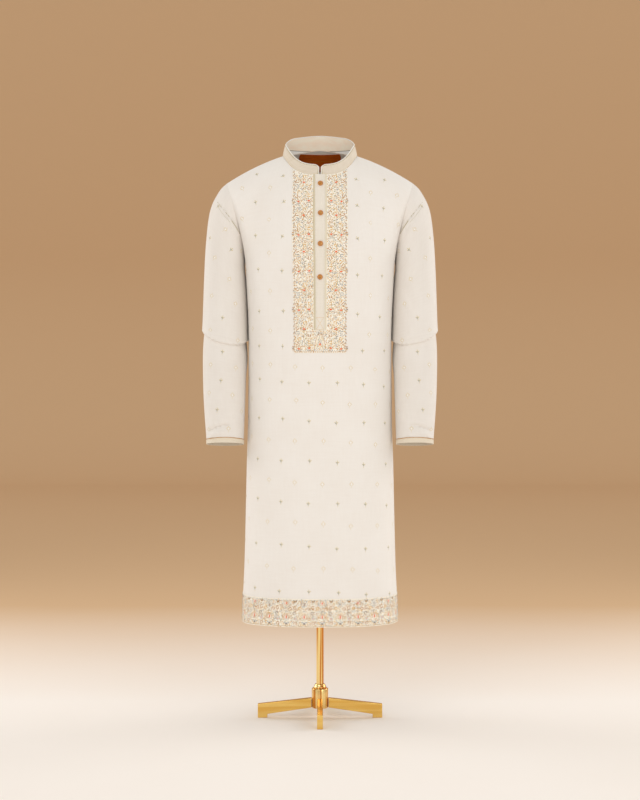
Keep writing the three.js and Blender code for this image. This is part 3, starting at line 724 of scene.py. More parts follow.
@dataclass(frozen=True)
class Weave:
    """Plain woven cloth: crossing threads, slubs along them and a soft change of tone."""

    name: str
    base: tuple[int, int, int]
    shade: tuple[int, int, int]
    thread: float = 0.0009
    rough: float = 0.82
    sheen: float = 0.18
    diagonal: bool = False
    strength: float = 0.22

    def build(self) -> bpy.types.Material:
        """The material. Height is the product of the two threads' ribs, with slubs along each."""
        graph = Graph(self.name, Roughness=self.rough, Sheen_Weight=self.sheen, Sheen_Roughness=0.45,
                      Specular_IOR_Level=0.22)
        uv = graph.cloth_uv()
        if self.diagonal:
            uv = graph.add("Mapping", {"Vector": uv, "Rotation": (0, 0, math.radians(52))}).outputs[0]
        warp, weft = graph.bands(uv, self.thread, "X"), graph.bands(uv, self.thread * 1.15, "Y")
        slub = graph.noise(graph.cloth_uv((220, 26, 1)), 1.0)
        slub_across = graph.noise(graph.cloth_uv((24, 260, 1)), 1.0)
        slubs = graph.math("ADD", slub, slub_across)
        tone = graph.noise(graph.cloth_uv(), 9.0, 2)
        height = graph.math("ADD", graph.math("MULTIPLY", warp, weft), graph.math("MULTIPLY", slubs, 0.8))
        part = graph.math("ADD", graph.math("MULTIPLY", graph.ramp(slubs, 0.75, 1.35), 0.4),
                          graph.math("MULTIPLY", graph.ramp(tone, 0.3, 0.75), 0.6))
        tint = graph.blend(part, colour(*self.base), colour(*self.shade))
        return graph.wear(tint, height, strength=self.strength, depth=0.0003)


@dataclass(frozen=True)
class CollarFacing:
    """Peach facing inside the collar, over the level seam of the neck, with pale cloth below it."""

    peach: tuple[int, int, int] = (252, 242, 224)
    peach_shade: tuple[int, int, int] = (250, 230, 208)
    pale: tuple[int, int, int] = (244, 242, 238)
    dark: tuple[int, int, int] = (142, 134, 126)
    seam_z: float = 1.3055
    seam: float = 0.0009

    def build(self) -> bpy.types.Material:
        """The material. The seam is a dark band about its height, and the tone changes there."""
        graph = Graph("collar_facing", Roughness=0.8, Sheen_Weight=0.2, Specular_IOR_Level=0.2)
        height = graph.add("SeparateXYZ", {0: graph.object_place()}).outputs["Z"]
        above = graph.ramp(height, self.seam_z - 0.0002, self.seam_z + 0.0002)
        tone = graph.ramp(graph.noise(graph.cloth_uv((40, 90, 1)), 1.0), 0.3, 0.7)
        peach = graph.blend(tone, colour(*self.peach), colour(*self.peach_shade))
        away = graph.math("ABSOLUTE", graph.math("SUBTRACT", height, self.seam_z), 0.0)
        tint = graph.blend(above, colour(*self.pale), peach)
        tint = graph.blend(graph.ramp(away, 0.4 * self.seam, self.seam), colour(*self.dark), tint)
        return graph.wear(tint, graph.bands(graph.cloth_uv(), 0.0009, "X"), strength=0.2, depth=0.0003)


@dataclass(frozen=True)
class SeedGround:
    """Ground of the embroidery: cream cloth under tiny seed stitches of gold and slate."""

    name: str
    base: tuple[int, int, int]
    gold: tuple[int, int, int]
    slate: tuple[int, int, int]

    def build(self) -> bpy.types.Material:
        """The material. Each cell of a fine cell pattern holds a stitch, and its random value its thread."""
        graph = Graph(self.name, Roughness=0.75, Sheen_Weight=0.15, Specular_IOR_Level=0.25)
        uv = graph.cloth_uv((1, 0.62, 1))
        cells = graph.add("TexVoronoi", {"Vector": uv, "Scale": 440.0, "Randomness": 0.8})
        pick = graph.add("SeparateColor", {0: cells.outputs["Color"]})
        inside = graph.math("SUBTRACT", 1.0, graph.ramp(cells.outputs["Distance"], 0.28, 0.46))
        gold = graph.math("MULTIPLY", inside, graph.ramp(pick.outputs[0], 0.74, 0.76))
        slate = graph.math("MULTIPLY", inside, graph.ramp(pick.outputs[1], 0.78, 0.8))
        tint = graph.blend(gold, colour(*self.base), colour(*self.gold))
        tint = graph.blend(slate, tint, colour(*self.slate))
        height = graph.math("ADD", inside, graph.bands(uv, 0.0007, "X"))
        return graph.wear(tint, height, strength=0.35, depth=0.0004)


@dataclass(frozen=True)
class Thread:
    """Satin-stitched thread in one colour."""

    name: str
    tone: tuple[int, int, int]
    rough: float = 0.5

    def build(self) -> bpy.types.Material:
        """The material. Height is the ribs of the strands that lie across each stitch."""
        graph = Graph(f"thread_{self.name}", Base_Color=colour(*self.tone), Roughness=self.rough,
                      Sheen_Weight=0.25, Specular_IOR_Level=0.4)
        strands = graph.bands(graph.cloth_uv(), 0.0004, "X")
        return graph.wear(height=strands, strength=0.15, depth=0.00005)


@dataclass(frozen=True)
class TurnedWood:
    """Varnished wood of the buttons, with rings of grain."""

    light: tuple[int, int, int] = (224, 152, 66)
    dark: tuple[int, int, int] = (148, 84, 26)

    def build(self) -> bpy.types.Material:
        """The material. Grain is noise drawn out along the cloth's up direction."""
        graph = Graph("button_wood", Roughness=0.32, Coat_Weight=0.4, Coat_Roughness=0.15)
        grain = graph.noise(graph.object_place((1500, 1500, 190)), 1.0, 4)
        tint = graph.blend(graph.ramp(grain, 0.35, 0.68), colour(*self.light), colour(*self.dark))
        return graph.wear(tint, grain, strength=0.1, depth=0.0002)


@dataclass(frozen=True)
class Brass:
    """Polished brass of the stand, with fine lengthways brushing and lengthways streaks of light and warm
    tone that are painted reflections.
    """

    name: str = "stand_brass"
    drawn: tuple[int, int, int] = (330, 330, 5)
    # The two tones below are the bright and the dark orange streaks of painted reflection.
    light: tuple[int, int, int] = (252, 224, 152)
    reflection_warm: tuple[int, int, int] = (208, 134, 58)

    def build(self) -> bpy.types.Material:
        """The material. Roughness and tone follow noise drawn out along each piece; the streaks of tone are
        painted reflections.
        """
        graph = Graph(self.name, Metallic=1.0)
        brushing = graph.noise(graph.object_place(self.drawn), 1.0, 2)
        painted_reflection = graph.noise(graph.object_place(self.drawn), 0.63, 1)
        tint = graph.blend(graph.ramp(painted_reflection, 0.42, 0.62), colour(*self.light), colour(*self.reflection_warm))
        rough = graph.add("MapRange", {"Value": brushing, "To Min": 0.1, "To Max": 0.24}).outputs["Result"]
        return graph.wear(tint, brushing, rough, strength=0.12, depth=0.0004)


@dataclass(frozen=True)
class WovenLabel:
    """Plain brown woven ribbon, its face finely ribbed."""

    base: tuple[int, int, int] = (196, 94, 12)
    shade: tuple[int, int, int] = (166, 70, 6)

    def build(self) -> bpy.types.Material:
        """The material. Height is the ribs of the weft."""
        graph = Graph("neck_label_weave", Roughness=0.6, Specular_IOR_Level=0.2)
        ribs = graph.bands(graph.cloth_uv(), 0.0006, "Y")
        slub = graph.noise(graph.cloth_uv((60, 900, 1)), 1.0)
        tint = graph.blend(graph.ramp(slub, 0.35, 0.7), colour(*self.base), colour(*self.shade))
        return graph.wear(tint, ribs, strength=0.3, depth=0.0002)


@dataclass(frozen=True)
class Backdrop:
    """Matt pale floor that turns to soft tan far behind the garment."""

    tone: tuple[int, int, int] = (252, 247, 242)
    back: tuple[int, int, int] = (222, 188, 150)

    def build(self) -> bpy.types.Material:
        """The material. The tone follows the distance behind the stand, with a faint cloudiness."""
        graph = Graph("floor_paper", Roughness=0.9, Specular_IOR_Level=0.1)
        place = graph.object_place()
        behind = graph.add("SeparateXYZ", {0: place}).outputs["Y"]
        cloud = graph.math("MULTIPLY", graph.noise(place, 2.0, 2), 0.08)
        part = graph.math("ADD", graph.ramp(behind, 0.2, 2.0), cloud)
        return graph.wear(graph.blend(part, colour(*self.tone), colour(*self.back)))


# ---------------------------------------------------------------- embroidery


class Yarn(Enum):
    """The embroidery threads, by name and colour."""

    OCHRE = (184, 122, 14)
    GOLD = (216, 166, 48)
    PALE = (240, 222, 178)
    SLATE = (158, 158, 160)
    OLIVE = (176, 164, 120)
    WHITE = (255, 252, 246)
    CORAL = (238, 100, 0)
    BROWN = (118, 72, 8)
    ASH = (190, 184, 162)
    SAND = (216, 198, 148)
    FAINT = (228, 208, 164)


YARNS = list(Yarn)

# A stitch is a row: x, y, angle, length, width, thread number.


def stitch(x: float, y: float, angle: float, length: float, width: float, yarn: Yarn) -> Array:
    """One stitch, its angle in degrees."""
    return np.array([[x, y, math.radians(angle), length, width, YARNS.index(yarn)]])


def row_of(x: Array, y: Array, angle: Array, length: Array, width: Array, yarn: Yarn) -> Array:
    """Stitches from arrays, their angles in radians."""
    return np.stack(np.broadcast_arrays(x, y, angle, length, width, float(YARNS.index(yarn))), axis=-1)


def petals(x: float, y: float, radius: float, count: int, length: float, width: float, yarn: Yarn,
           start: float = 90, sweep: float = 360) -> Array:
    """Stitches that point away from a centre, at radius from it."""
    turn = np.radians(start + np.arange(count) * sweep / (count if sweep == 360 else max(count - 1, 1)))
    return row_of(x + radius * np.cos(turn), y + radius * np.sin(turn), turn, length, width, yarn)


def dots(x: float, y: float, radius: float, count: int, size: float, yarn: Yarn, start: float = 90,
         sweep: float = 360) -> Array:
    """Round knots on an arc about a centre."""
    return petals(x, y, radius, count, size, size, yarn, start, sweep)


def scroll(x: float, y: float, radius: float, start: float, sweep: float, yarn: Yarn, count: int = 6,
           width: float = 1.1) -> Array:
    """A curl of short stitches whose radius shrinks to a third along its sweep."""
    part = np.linspace(0, 1, count)
    turn = np.radians(start + sweep * part)
    shrink = radius * (1 - 0.66 * part)
    step = math.radians(abs(sweep)) / (count - 1)
    return row_of(x + shrink * np.cos(turn), y + shrink * np.sin(turn), turn + math.pi / 2,
                  shrink * step * 1.25 + 0.4, width, yarn)


def vine(x: Array, y: Array, yarn: Yarn, step: float = 3.0, width: float = 1.0, fill: float = 0.85) -> Array:
    """Running stitches along a line of points, a step apart."""
    along = np.concatenate([[0], np.cumsum(np.hypot(np.diff(x), np.diff(y)))])
    count = max(int(along[-1] / step), 1)
    middle = (np.arange(count) + 0.5) * along[-1] / count
    px, py = np.interp(middle, along, x), np.interp(middle, along, y)
    angle = np.arctan2(np.interp(middle + 0.5, along, y) - np.interp(middle - 0.5, along, y),
                       np.interp(middle + 0.5, along, x) - np.interp(middle - 0.5, along, x))
    return row_of(px, py, angle, step * fill, width, yarn)


def placed(motif: Array, x: float, y: float, turn: float = 0, scale: float = 1, flip: bool = False) -> Array:
    """A motif moved, turned by degrees, scaled and perhaps mirrored."""
    work = motif.copy()
    if flip:
        work[:, 0] *= -1
        work[:, 2] = math.pi - work[:, 2]
    angle = math.radians(turn)
    mx, my = work[:, 0].copy(), work[:, 1].copy()
    work[:, 0] = x + scale * (mx * math.cos(angle) - my * math.sin(angle))
    work[:, 1] = y + scale * (mx * math.sin(angle) + my * math.cos(angle))
    work[:, 2] += angle
    work[:, 3:5] *= scale
    return work


def seeds(box: tuple[float, float, float, float], taken: Array, spacing: float, seed: int) -> Array:
    """Seed stitches between the motifs.

    Args:
        box: low x, low y, high x, high y.
        taken: stitches already there.
        spacing: distance between seeds, on a staggered lattice moved a little by a fixed random draw.
        seed: which draw.

    Returns:
        Short stitches of mixed thread, none on a stitch that is there.
    """
    draw = np.random.default_rng(seed)
    columns = np.arange(box[0], box[2], spacing)
    rows = np.arange(box[1], box[3], spacing * 0.86)
    x, y = np.meshgrid(columns, rows)
    x = x + (np.arange(len(rows)) % 2)[:, None] * spacing / 2
    x, y = x.ravel() + draw.uniform(-0.7, 0.7, x.size), y.ravel() + draw.uniform(-0.7, 0.7, x.size)
    free = np.ones(len(x), bool)
    for part in np.array_split(taken, max(len(taken) // 400, 1)):
        gap = np.hypot(x[:, None] - part[:, 0], y[:, None] - part[:, 1])
        free &= (gap > 0.34 * part[:, 3] + 0.8).all(axis=1)
    x, y = x[free], y[free]
    count = len(x)
    kinds = draw.choice([Yarn.PALE, Yarn.GOLD, Yarn.SLATE, Yarn.OCHRE, Yarn.WHITE, Yarn.OLIVE], count,
                        p=[0.06, 0.2, 0.27, 0.27, 0.12, 0.08])
    thread = np.array([YARNS.index(kind) for kind in kinds], float)
    length = draw.uniform(1.9, 3.7, count)
    angle = draw.uniform(0, math.pi, count)
    return np.stack([x, y, angle, length, draw.uniform(1.2, 1.8, count), thread], axis=-1)


SPRIG_HEIGHT = 0.34
OUTLINE = np.array([(0.5, 0), (0.24, 0.5), (-0.2, 0.5), (-0.5, 0), (-0.2, -0.5), (0.24, -0.5)])


def embroidered(stitches: Array, frames: tuple[Array, Array, Array, Array], lift: float,
                height: float) -> Form:
    """Raised stitches on a sheet.

    Each stitch is a leaf: six points round it, one on top and one under it. A point (a, b) of its
    outline lies at p + (a cos t - b sin t) across + (a sin t + b cos t) up + lift out.

    Args:
        stitches: rows of x, y, angle, length, width and thread number.
        frames: the sheet's point and its vectors across, up and out, at each stitch.
        lift: how far the sheet's face lies off the frames' points.
        height: how high a stitch of 2 mm width stands.

    Returns:
        The form, its finishes numbered by thread.
    """
    at, across, up, out = frames
    count = len(stitches)
    _, _, angle, length, width, thread = stitches.T
    a = np.concatenate([OUTLINE[:, 0], [0.02, 0.02]]) * length[:, None]
    b = np.concatenate([OUTLINE[:, 1], [0, 0]]) * width[:, None]
    rise = np.tile([0.12, 0.12, 0.12, 0.12, 0.12, 0.12, 1.0, -0.25], (count, 1))
    rise = lift + rise * (height * np.sqrt(width / 2))[:, None]
    cos, sin = np.cos(angle)[:, None], np.sin(angle)[:, None]
    points = (at[:, None] + (a * cos - b * sin)[..., None] * across[:, None]
              + (a * sin + b * cos)[..., None] * up[:, None] + rise[..., None] * out[:, None])
    ring = np.arange(6)
    top = np.stack([ring, (ring + 1) % 6, np.full(6, 6)], axis=1)
    under = np.stack([(ring + 1) % 6, ring, np.full(6, 7)], axis=1)
    one = np.concatenate([top, under])
    faces = (np.arange(count)[:, None, None] * 8 + one).reshape(-1, 3)
    turned = (np.cross(across, up) * out).sum(-1) < 0
    faces = np.where(np.repeat(turned, 12)[:, None], faces[:, ::-1], faces)
    uv = np.stack([a, b], axis=-1).reshape(-1, 2)[faces]
    return Form(points.reshape(-1, 3), faces, uv, np.repeat(thread.astype(int), 12))


def marks(count: int, length: float, width: float, yarn: Yarn, angle: float = 0.0) -> Array:
    """Equal stitches whose places come from their frames."""
    return row_of(np.zeros(count), np.zeros(count), angle, length, width, yarn)


def sewn(motif: Array, frames: tuple[Array, Array, Array, Array]) -> list[Form]:
    """A motif at each of the places that the frames give, flat on the sheet there."""
    forms = []
    for at, *vectors in zip(*frames):
        spots = at + motif[:, :1] * vectors[0] + motif[:, 1:2] * vectors[1]
        spread = (np.broadcast_to(vector, (len(motif), 3)) for vector in vectors)
        forms.append(embroidered(motif, (spots, *spread), 0.0, SPRIG_HEIGHT))
    return forms


def dark_sprig() -> Array:
    """A small tulip: ash heart, three sand tips and a knot on its stem."""
    return np.concatenate([
        stitch(0, 0.4, 90, 4.8, 3.2, Yarn.ASH),
        stitch(-1.5, 0.2, 118, 3.8, 1.5, Yarn.SLATE),
        stitch(1.6, 0.2, 62, 3.8, 1.5, Yarn.SAND),
        stitch(0, 4.2, 90, 3.4, 1.7, Yarn.SAND),
        stitch(-3.2, 1.8, 145, 3.0, 1.5, Yarn.SAND),
        stitch(3.2, 1.8, 35, 3.0, 1.5, Yarn.SAND),
        stitch(0, -3.0, 90, 2.4, 1.6, Yarn.ASH),
        stitch(0, -5.6, 90, 1.8, 1.2, Yarn.FAINT),
    ])


def light_sprig() -> Array:
    """A small open diamond of faint gold petals round a white knot, on a dotted stem."""
    return np.concatenate([
        stitch(0, 0.6, 90, 2.6, 2.2, Yarn.WHITE),
        stitch(-2.4, 2.7, 50, 3.6, 1.3, Yarn.FAINT),
        stitch(2.4, 2.7, 130, 3.6, 1.3, Yarn.FAINT),
        stitch(-2.4, -1.3, 130, 3.4, 1.2, Yarn.SAND),
        stitch(2.4, -1.3, 50, 3.4, 1.2, Yarn.FAINT),
        stitch(0, 5.4, 90, 2.4, 1.3, Yarn.FAINT),
        stitch(-4.4, 0.8, 0, 1.7, 1.2, Yarn.FAINT),
        stitch(4.4, 0.8, 0, 1.7, 1.2, Yarn.SAND),
        stitch(0, -4.0, 90, 1.8, 1.2, Yarn.SAND),
        stitch(0, -6.8, 90, 1.6, 1.0, Yarn.FAINT),
    ])


def bib_unit() -> Array:
    """One repeat of the bib's flowering stem: a coral-hearted flower, a leafy stem and two buds."""
    up = np.linspace(-8, -36, 12)
    leaves = [
        stitch(side * 3.6, height, 90 - side * 52, 5.0, 2.0, Yarn.SLATE if k % 2 else Yarn.OLIVE)
        for k, (height, side) in enumerate(((-12, -1), (-16.5, 1), (-21.5, -1), (-27, 1), (-32, -1)))
    ]
    curls = [
        placed(scroll(0, 0, 3.9, 200, 200, yarn, 3, 1.6), x, y, turn)
        for x, y, turn, yarn in (
            (-11, -14, 0, Yarn.OCHRE), (9.5, -22, 130, Yarn.GOLD), (-15, 6, 200, Yarn.OCHRE),
            (15.5, 3, 40, Yarn.OCHRE), (-12.5, -29, 80, Yarn.GOLD), (13.5, -10, 250, Yarn.SLATE),
            (17, -33, 300, Yarn.OCHRE), (-3, 13.5, 150, Yarn.GOLD), (8, 15, 20, Yarn.SLATE),
        )
    ]
    buds = [
        np.concatenate([
            stitch(side * 11.5, -43 - lower, 8 * side, 5.8, 3.4, Yarn.CORAL),
            petals(side * 11.5, -43 - lower, 3.9, 5, 3.0, 1.6, Yarn.OCHRE, 20, 250),
            petals(side * 11.5, -43 - lower, 7.2, 5, 2.8, 1.5, Yarn.GOLD, 30, 200),
            stitch(side * 11.5 - 2.6, -47.8 - lower, 225, 3.6, 1.6, Yarn.SLATE),
            stitch(side * 11.5 + 3.0, -47.0 - lower, -35, 3.6, 1.6, Yarn.SLATE),
        ])
        for side, lower in ((-1, 0), (1, 1.5))
    ]
    return np.concatenate([
        stitch(0, 0, 12, 5.8, 3.6, Yarn.CORAL),
        petals(0.5, 0.4, 4.3, 6, 3.2, 1.8, Yarn.OCHRE),
        petals(0.3, 0, 8.0, 7, 3.2, 1.6, Yarn.GOLD, 70),
        vine(1.4 * np.sin(up / 4), up, Yarn.BROWN, 3.4, 1.1, 0.7),
        *leaves, *curls, *buds,
    ])


def border_unit(rosette: bool) -> Array:
    """One repeat of the hem border, 40 mm wide, measured from its lower edge."""
    lotus = np.concatenate([
        stitch(0, 22.5, 90, 8.4, 2.7, Yarn.CORAL),
        petals(0, 22.5, 5.2, 9, 2.6, 1.6, Yarn.OCHRE, -30, 240),
        petals(0, 21.5, 8.6, 9, 2.8, 1.6, Yarn.GOLD, -10, 200),
        petals(0, 12.5, 4.6, 4, 5.6, 1.9, Yarn.SLATE, 200, 140),
        petals(0, 14.0, 9.6, 6, 4.4, 1.7, Yarn.GOLD, 196, 148),
        stitch(0, 7.2, 90, 4.2, 2.0, Yarn.BROWN),
        dots(0, 34.5, 1.8, 3, 1.8, Yarn.BROWN, 0, 180),
    ])
    head = np.concatenate([
        stitch(0, 53, 90, 5.4, 2.8, Yarn.CORAL),
        petals(0, 53, 4.8, 8, 2.8, 1.6, Yarn.OCHRE),
        dots(0, 52, 8.2, 11, 1.9, Yarn.SLATE, 160, 220),
        dots(0, 52, 11.4, 12, 1.8, Yarn.OCHRE, 190, 160),
    ]) if rosette else np.concatenate([
        dots(0, 51, 0, 1, 3.0, Yarn.SLATE),
        dots(0, 51, 3.4, 6, 1.7, Yarn.BROWN),
        petals(0, 51, 6.8, 8, 3.2, 1.6, Yarn.SLATE),
        dots(0, 51, 9.8, 8, 1.5, Yarn.GOLD, 112),
    ])
    hanging = np.concatenate([
        placed(np.concatenate([
            stitch(-2.4, 0, 112, 7.4, 1.9, Yarn.BROWN), stitch(2.4, 0, 68, 7.4, 1.9, Yarn.BROWN),
            stitch(0, -0.8, 90, 4.4, 1.8, Yarn.GOLD), stitch(0, -5.6, 90, 2.4, 1.5, Yarn.SLATE),
        ]), 20, 57.5),
        scroll(20, 42.5, 4.4, 90, 300, Yarn.OCHRE, 6, 1.5),
        scroll(18.5, 31.5, 4.0, 250, -280, Yarn.BROWN, 6, 1.4),
        petals(20, 18.5, 3.0, 6, 2.8, 1.5, Yarn.SLATE),
        dots(20, 18.5, 0, 1, 2.2, Yarn.CORAL),
        scroll(21, 8.5, 3.8, 180, -280, Yarn.OCHRE, 5, 1.4),
        scroll(-10.5, 41, 3.8, 30, 280, Yarn.GOLD, 5, 1.5),
        scroll(9.5, 40, 3.8, 150, -280, Yarn.OCHRE, 5, 1.5),
    ])
    return np.concatenate([lotus, head, hanging])


# ---------------------------------------------------------------- cloth pieces


@dataclass
class Finishes:
    """The garment's and the stand's materials."""

    cloth: bpy.types.Material
    sleeve: bpy.types.Material
    collar: bpy.types.Material
    facing: bpy.types.Material
    piping: bpy.types.Material
    placket: bpy.types.Material
    edge_painted_shadow: bpy.types.Material
    edge_painted_light: bpy.types.Material
    ground: bpy.types.Material
    cuff: bpy.types.Material
    label: bpy.types.Material
    wood: bpy.types.Material
    brass: bpy.types.Material
    feet: bpy.types.Material
    yarns: list[bpy.types.Material]

    @staticmethod
    def mixed() -> "Finishes":
        """Builds every material."""
        return Finishes(
            cloth=Weave("panel_cloth", (243, 239, 234), (238, 232, 225)).build(),
            # The sleeve cloth is the panel cloth painted a little darker, as shade.
            sleeve=Weave("sleeve_cloth_painted_shade", (237, 232, 226), (230, 223, 215)).build(),
            collar=Weave("collar_cloth", (236, 225, 210), (216, 201, 178), 0.0013, diagonal=True,
                         strength=0.5).build(),
            facing=CollarFacing().build(),
            piping=Weave("piping_cotton", (248, 245, 238), (240, 236, 228), 0.0007).build(),
            placket=Weave("placket_cloth", (239, 232, 221), (231, 223, 209)).build(),
            # The under strip's margins: olive painted shadow on the left, paler painted light on the right.
            edge_painted_shadow=Weave("placket_edge_painted_shadow", (220, 209, 184), (208, 195, 166)).build(),
            edge_painted_light=Weave("placket_edge_painted_light", (232, 224, 206), (222, 212, 190)).build(),
            ground=SeedGround("embroidery_ground", (252, 245, 231), (208, 164, 84), (170, 174, 172)).build(),
            cuff=Weave("cuff_cloth", (232, 221, 203), (222, 209, 188)).build(),
            label=WovenLabel().build(),
            wood=TurnedWood().build(),
            brass=Brass().build(),
            # The feet carry the same painted reflection streaks, fainter.
            feet=Brass("feet_brass", (8, 8, 150), (242, 204, 118), (230, 182, 92)).build(),
            yarns=[Thread(yarn.name.lower(), yarn.value).build() for yarn in YARNS],
        )


def finished(piece: bpy.types.Object, slot: str, *nodes: str) -> bpy.types.Object:
    """Hides the CAD nodes that the piece stands for, and reports the piece's faces."""
    if nodes:
        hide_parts(*nodes)
    log.info("%s: %d faces", piece.name, len(piece.data.polygons))
    return piece


@dataclass
class Body:
    """Front and back panel, with the sprigs that are worked all over them."""

    finishes: Finishes
    rows: tuple[int, int] = (112, 62)
    thickness: float = 1.2
    dark_rows: tuple[float, ...] = (302, 403, 501, 593, 684, 770, 848, 926, 1017, 1096, 1172, 1235)
    light_rows: tuple[float, ...] = (355, 455, 546, 639, 727, 805, 884, 970, 1056, 1134, 1204)
    pitch: float = 61.5
    dark_start: float = -24.0
    light_start: float = 6.5
    chest_z: float = 860.0
    chest_dark: float = 83.5
    chest_light: float = 114.0
    slope: float = 0.045
    bib_x: float = 66.0
    bib_z: float = 832.0
    neck_x: float = 88.0
    armhole_x: float = 180.0

    def build(self) -> dict[str, bpy.types.Object]:
        """Builds both panels and their sprigs."""
        made = {}
        for name, panel in (("front_panel", FRONT), ("back_panel", BACK)):
            rows = np.concatenate([np.linspace(0, 1, self.rows[0]), np.linspace(1, 2, self.rows[1])[1:]])
            form = panel.layer(panel.columns(BODY_COLUMNS), rows, 0.0, self.thickness)
            made[name] = finished(form.build(name, [self.finishes.cloth]), "cloth", name)
            sprigs = self.sprigs(panel)
            piece = sprigs.build(name.replace("panel", "sprigs"), self.finishes.yarns)
            made[name + "_sprigs"] = finished(piece, "embroidery")
        return made

    def sprigs(self, panel: Panel) -> Form:
        """Dark and light sprigs on a staggered lattice, each row a little lower to the right."""
        forms = []
        for motif, rows, start in ((dark_sprig(), self.dark_rows, self.dark_start),
                                   (light_sprig(), self.light_rows, self.light_start)):
            for k, z in enumerate(rows):
                arc = start + self.pitch * np.arange(-4, 5)
                if z > self.chest_z and panel.facing < 0:
                    first = self.chest_dark if rows is self.dark_rows else self.chest_light
                    half = first + self.pitch * np.arange(3)
                    arc = np.concatenate([-half[::-1], half])
                drift = 2.0 * np.sin(1.7 * np.arange(len(arc)) + 2.3 * k)
                forms.extend(self.row(panel, motif, arc + 0.8 * drift, z + drift))
        return joined(forms)

    def row(self, panel: Panel, motif: Array, arc: Array, z: float | Array) -> list[Form]:
        """One row of a motif, at distances round the body, left out where another piece lies."""
        heights = z - self.slope * arc * (panel.facing < 0)
        fine = panel.fine()
        lengths = panel.arc(fine, 900.0)
        inside = np.abs(arc) < lengths[-1] - 6
        arc, heights = arc[inside], heights[inside]
        column = np.interp(arc, lengths, fine)
        in_yoke = heights > ARMPIT_Z
        column = np.where(in_yoke, self.yoke_column(panel, arc, heights), column)
        row = panel.row_at(column, heights)
        at, across, up, out = panel.frame(column, row)
        off_centre = np.abs(at[:, 0])
        reach = self.bib_x if panel.facing < 0 else 0
        covered = (off_centre < reach) & (heights > self.bib_z)
        high = (at[:, 2] > panel.neck_seam_z(at[:, 0]) - 12) & (off_centre < self.neck_x)
        edge = (np.abs(column) > panel.side_column - 0.35) | (in_yoke & (off_centre > self.armhole_x))
        off = np.abs(at[:, 2] - heights) > 3
        keep = ~(covered | high | edge | off)
        return sewn(motif, (at[keep], across[keep], up[keep], out[keep]))

    def yoke_column(self, panel: Panel, x: Array, z: Array) -> Array:
        """Column whose point at that height of the yoke stands at x, by halving."""
        ends = np.zeros(len(x)), np.full(len(x), float(panel.side_column))
        return np.sign(x) * halved(
            *ends, lambda column: panel.surface(column, panel.row_at(column, z))[:, 0] < np.abs(x), 22)


@dataclass
class Bib:
    """Embroidered bib on the chest, with the placket's bottom point in its own arch."""

    finishes: Finishes
    half_width: float = 61.0
    bottom_z: float = 838.0
    column: int = 4
    lift: float = 1.0
    thickness: float = 0.7
    flower_x: float = 35.5
    flower_rows: tuple[float, ...] = (891.5, 978, 1064, 1146, 1222)

    def build(self) -> dict[str, bpy.types.Object]:
        """Builds the bib's ground and its stitches."""
        columns = np.linspace(-self.column, self.column, 49)
        rows = np.concatenate([np.linspace(body_row(self.bottom_z), 1, 42), np.linspace(1, 2, 44)[1:]])
        form = FRONT.layer(columns, rows, self.lift, self.thickness)
        ground = finished(form.build("bib", [self.finishes.ground]), "embroidery", "bib")
        stitches = self.stitches()
        column = FRONT.column_at(stitches[:, 0], stitches[:, 1])
        row = FRONT.row_at(column, stitches[:, 1])
        work = embroidered(stitches, FRONT.frame(column, row), self.lift, 0.5)
        threads = finished(work.build("bib_embroidery", self.finishes.yarns), "embroidery")
        return {"bib": ground, "bib_embroidery": threads}

    def stitches(self) -> Array:
        """All of the bib's stitches, as x and height on the cloth."""
        unit_motif = bib_unit()
        motifs = [
            placed(unit_motif, side * self.flower_x, z, 0, 1, side < 0)
            for z in self.flower_rows for side in (-1, 1)
        ]
        low, high = self.bottom_z + 2.2, 1252.0
        step = np.arange(low + 2, high, 5.4)
        sway = 1.1 * np.sin(2.1 * np.arange(len(step)))
        edges = [
            row_of(side * (57.2 + 0.9 * sway), step + shift + sway, 0.2 * sway, length, 1.6, yarn)
            for side in (-1, 1)
            for shift, length, yarn in ((0, 4.0, Yarn.OCHRE), (2.7, 2.4, Yarn.SLATE))
        ]
        tips = [
            stitch(side * (60.4 + reach), z - 43 + lift, 90 + side * (turn - 90), 5.0, 1.5, yarn)
            for z in (*self.flower_rows, 1303) for side in (-1, 1)
            for reach, lift, turn, yarn in (
                (0, 0, 0, Yarn.BROWN), (-0.6, 3.4, 32, Yarn.OCHRE), (-0.8, -3.2, -24, Yarn.GOLD))
        ]
        foot = row_of(np.arange(-55, 56, 5.0), low, 0.25 * np.cos(np.arange(23)), 3.6, 1.6, Yarn.OCHRE)
        foot_dots = row_of(np.arange(-52.5, 54, 5.0), low + 2.4, 0, 2.2, 1.7, Yarn.SLATE)
        t = np.linspace(-1, 1, 30)
        arch = [
            vine(scale * 13 * t, 846 + scale * 34 * (1 - np.abs(t) ** 2.6), yarn, 2.6, 1.4)
            for scale, yarn in ((1.0, Yarn.OCHRE), (0.78, Yarn.PALE), (0.56, Yarn.SLATE))
        ]
        heart = np.concatenate([
            stitch(0, 857, 90, 6.4, 3.4, Yarn.CORAL),
            petals(0, 852.5, 4.2, 5, 3.6, 1.6, Yarn.GOLD, 0, 180),
            petals(0, 880, 3.4, 5, 3.4, 1.5, Yarn.BROWN, 0, 180),
        ])
        work = np.concatenate([*motifs, *edges, foot, foot_dots, *arch, heart])
        work = work[(np.abs(work[:, 0]) < 59.6) & (work[:, 1] > low - 0.5)]
        work = np.concatenate([work, seeds((-57, low + 2, 57, high), work, 3.6, 7), *tips])
        under_placket = (np.abs(work[:, 0]) < 15.4) & (work[:, 1] > 887.5)
        above_neck = work[:, 1] > FRONT.neck_seam_z(work[:, 0]) - 1.8
        return work[~(under_placket | above_neck)]


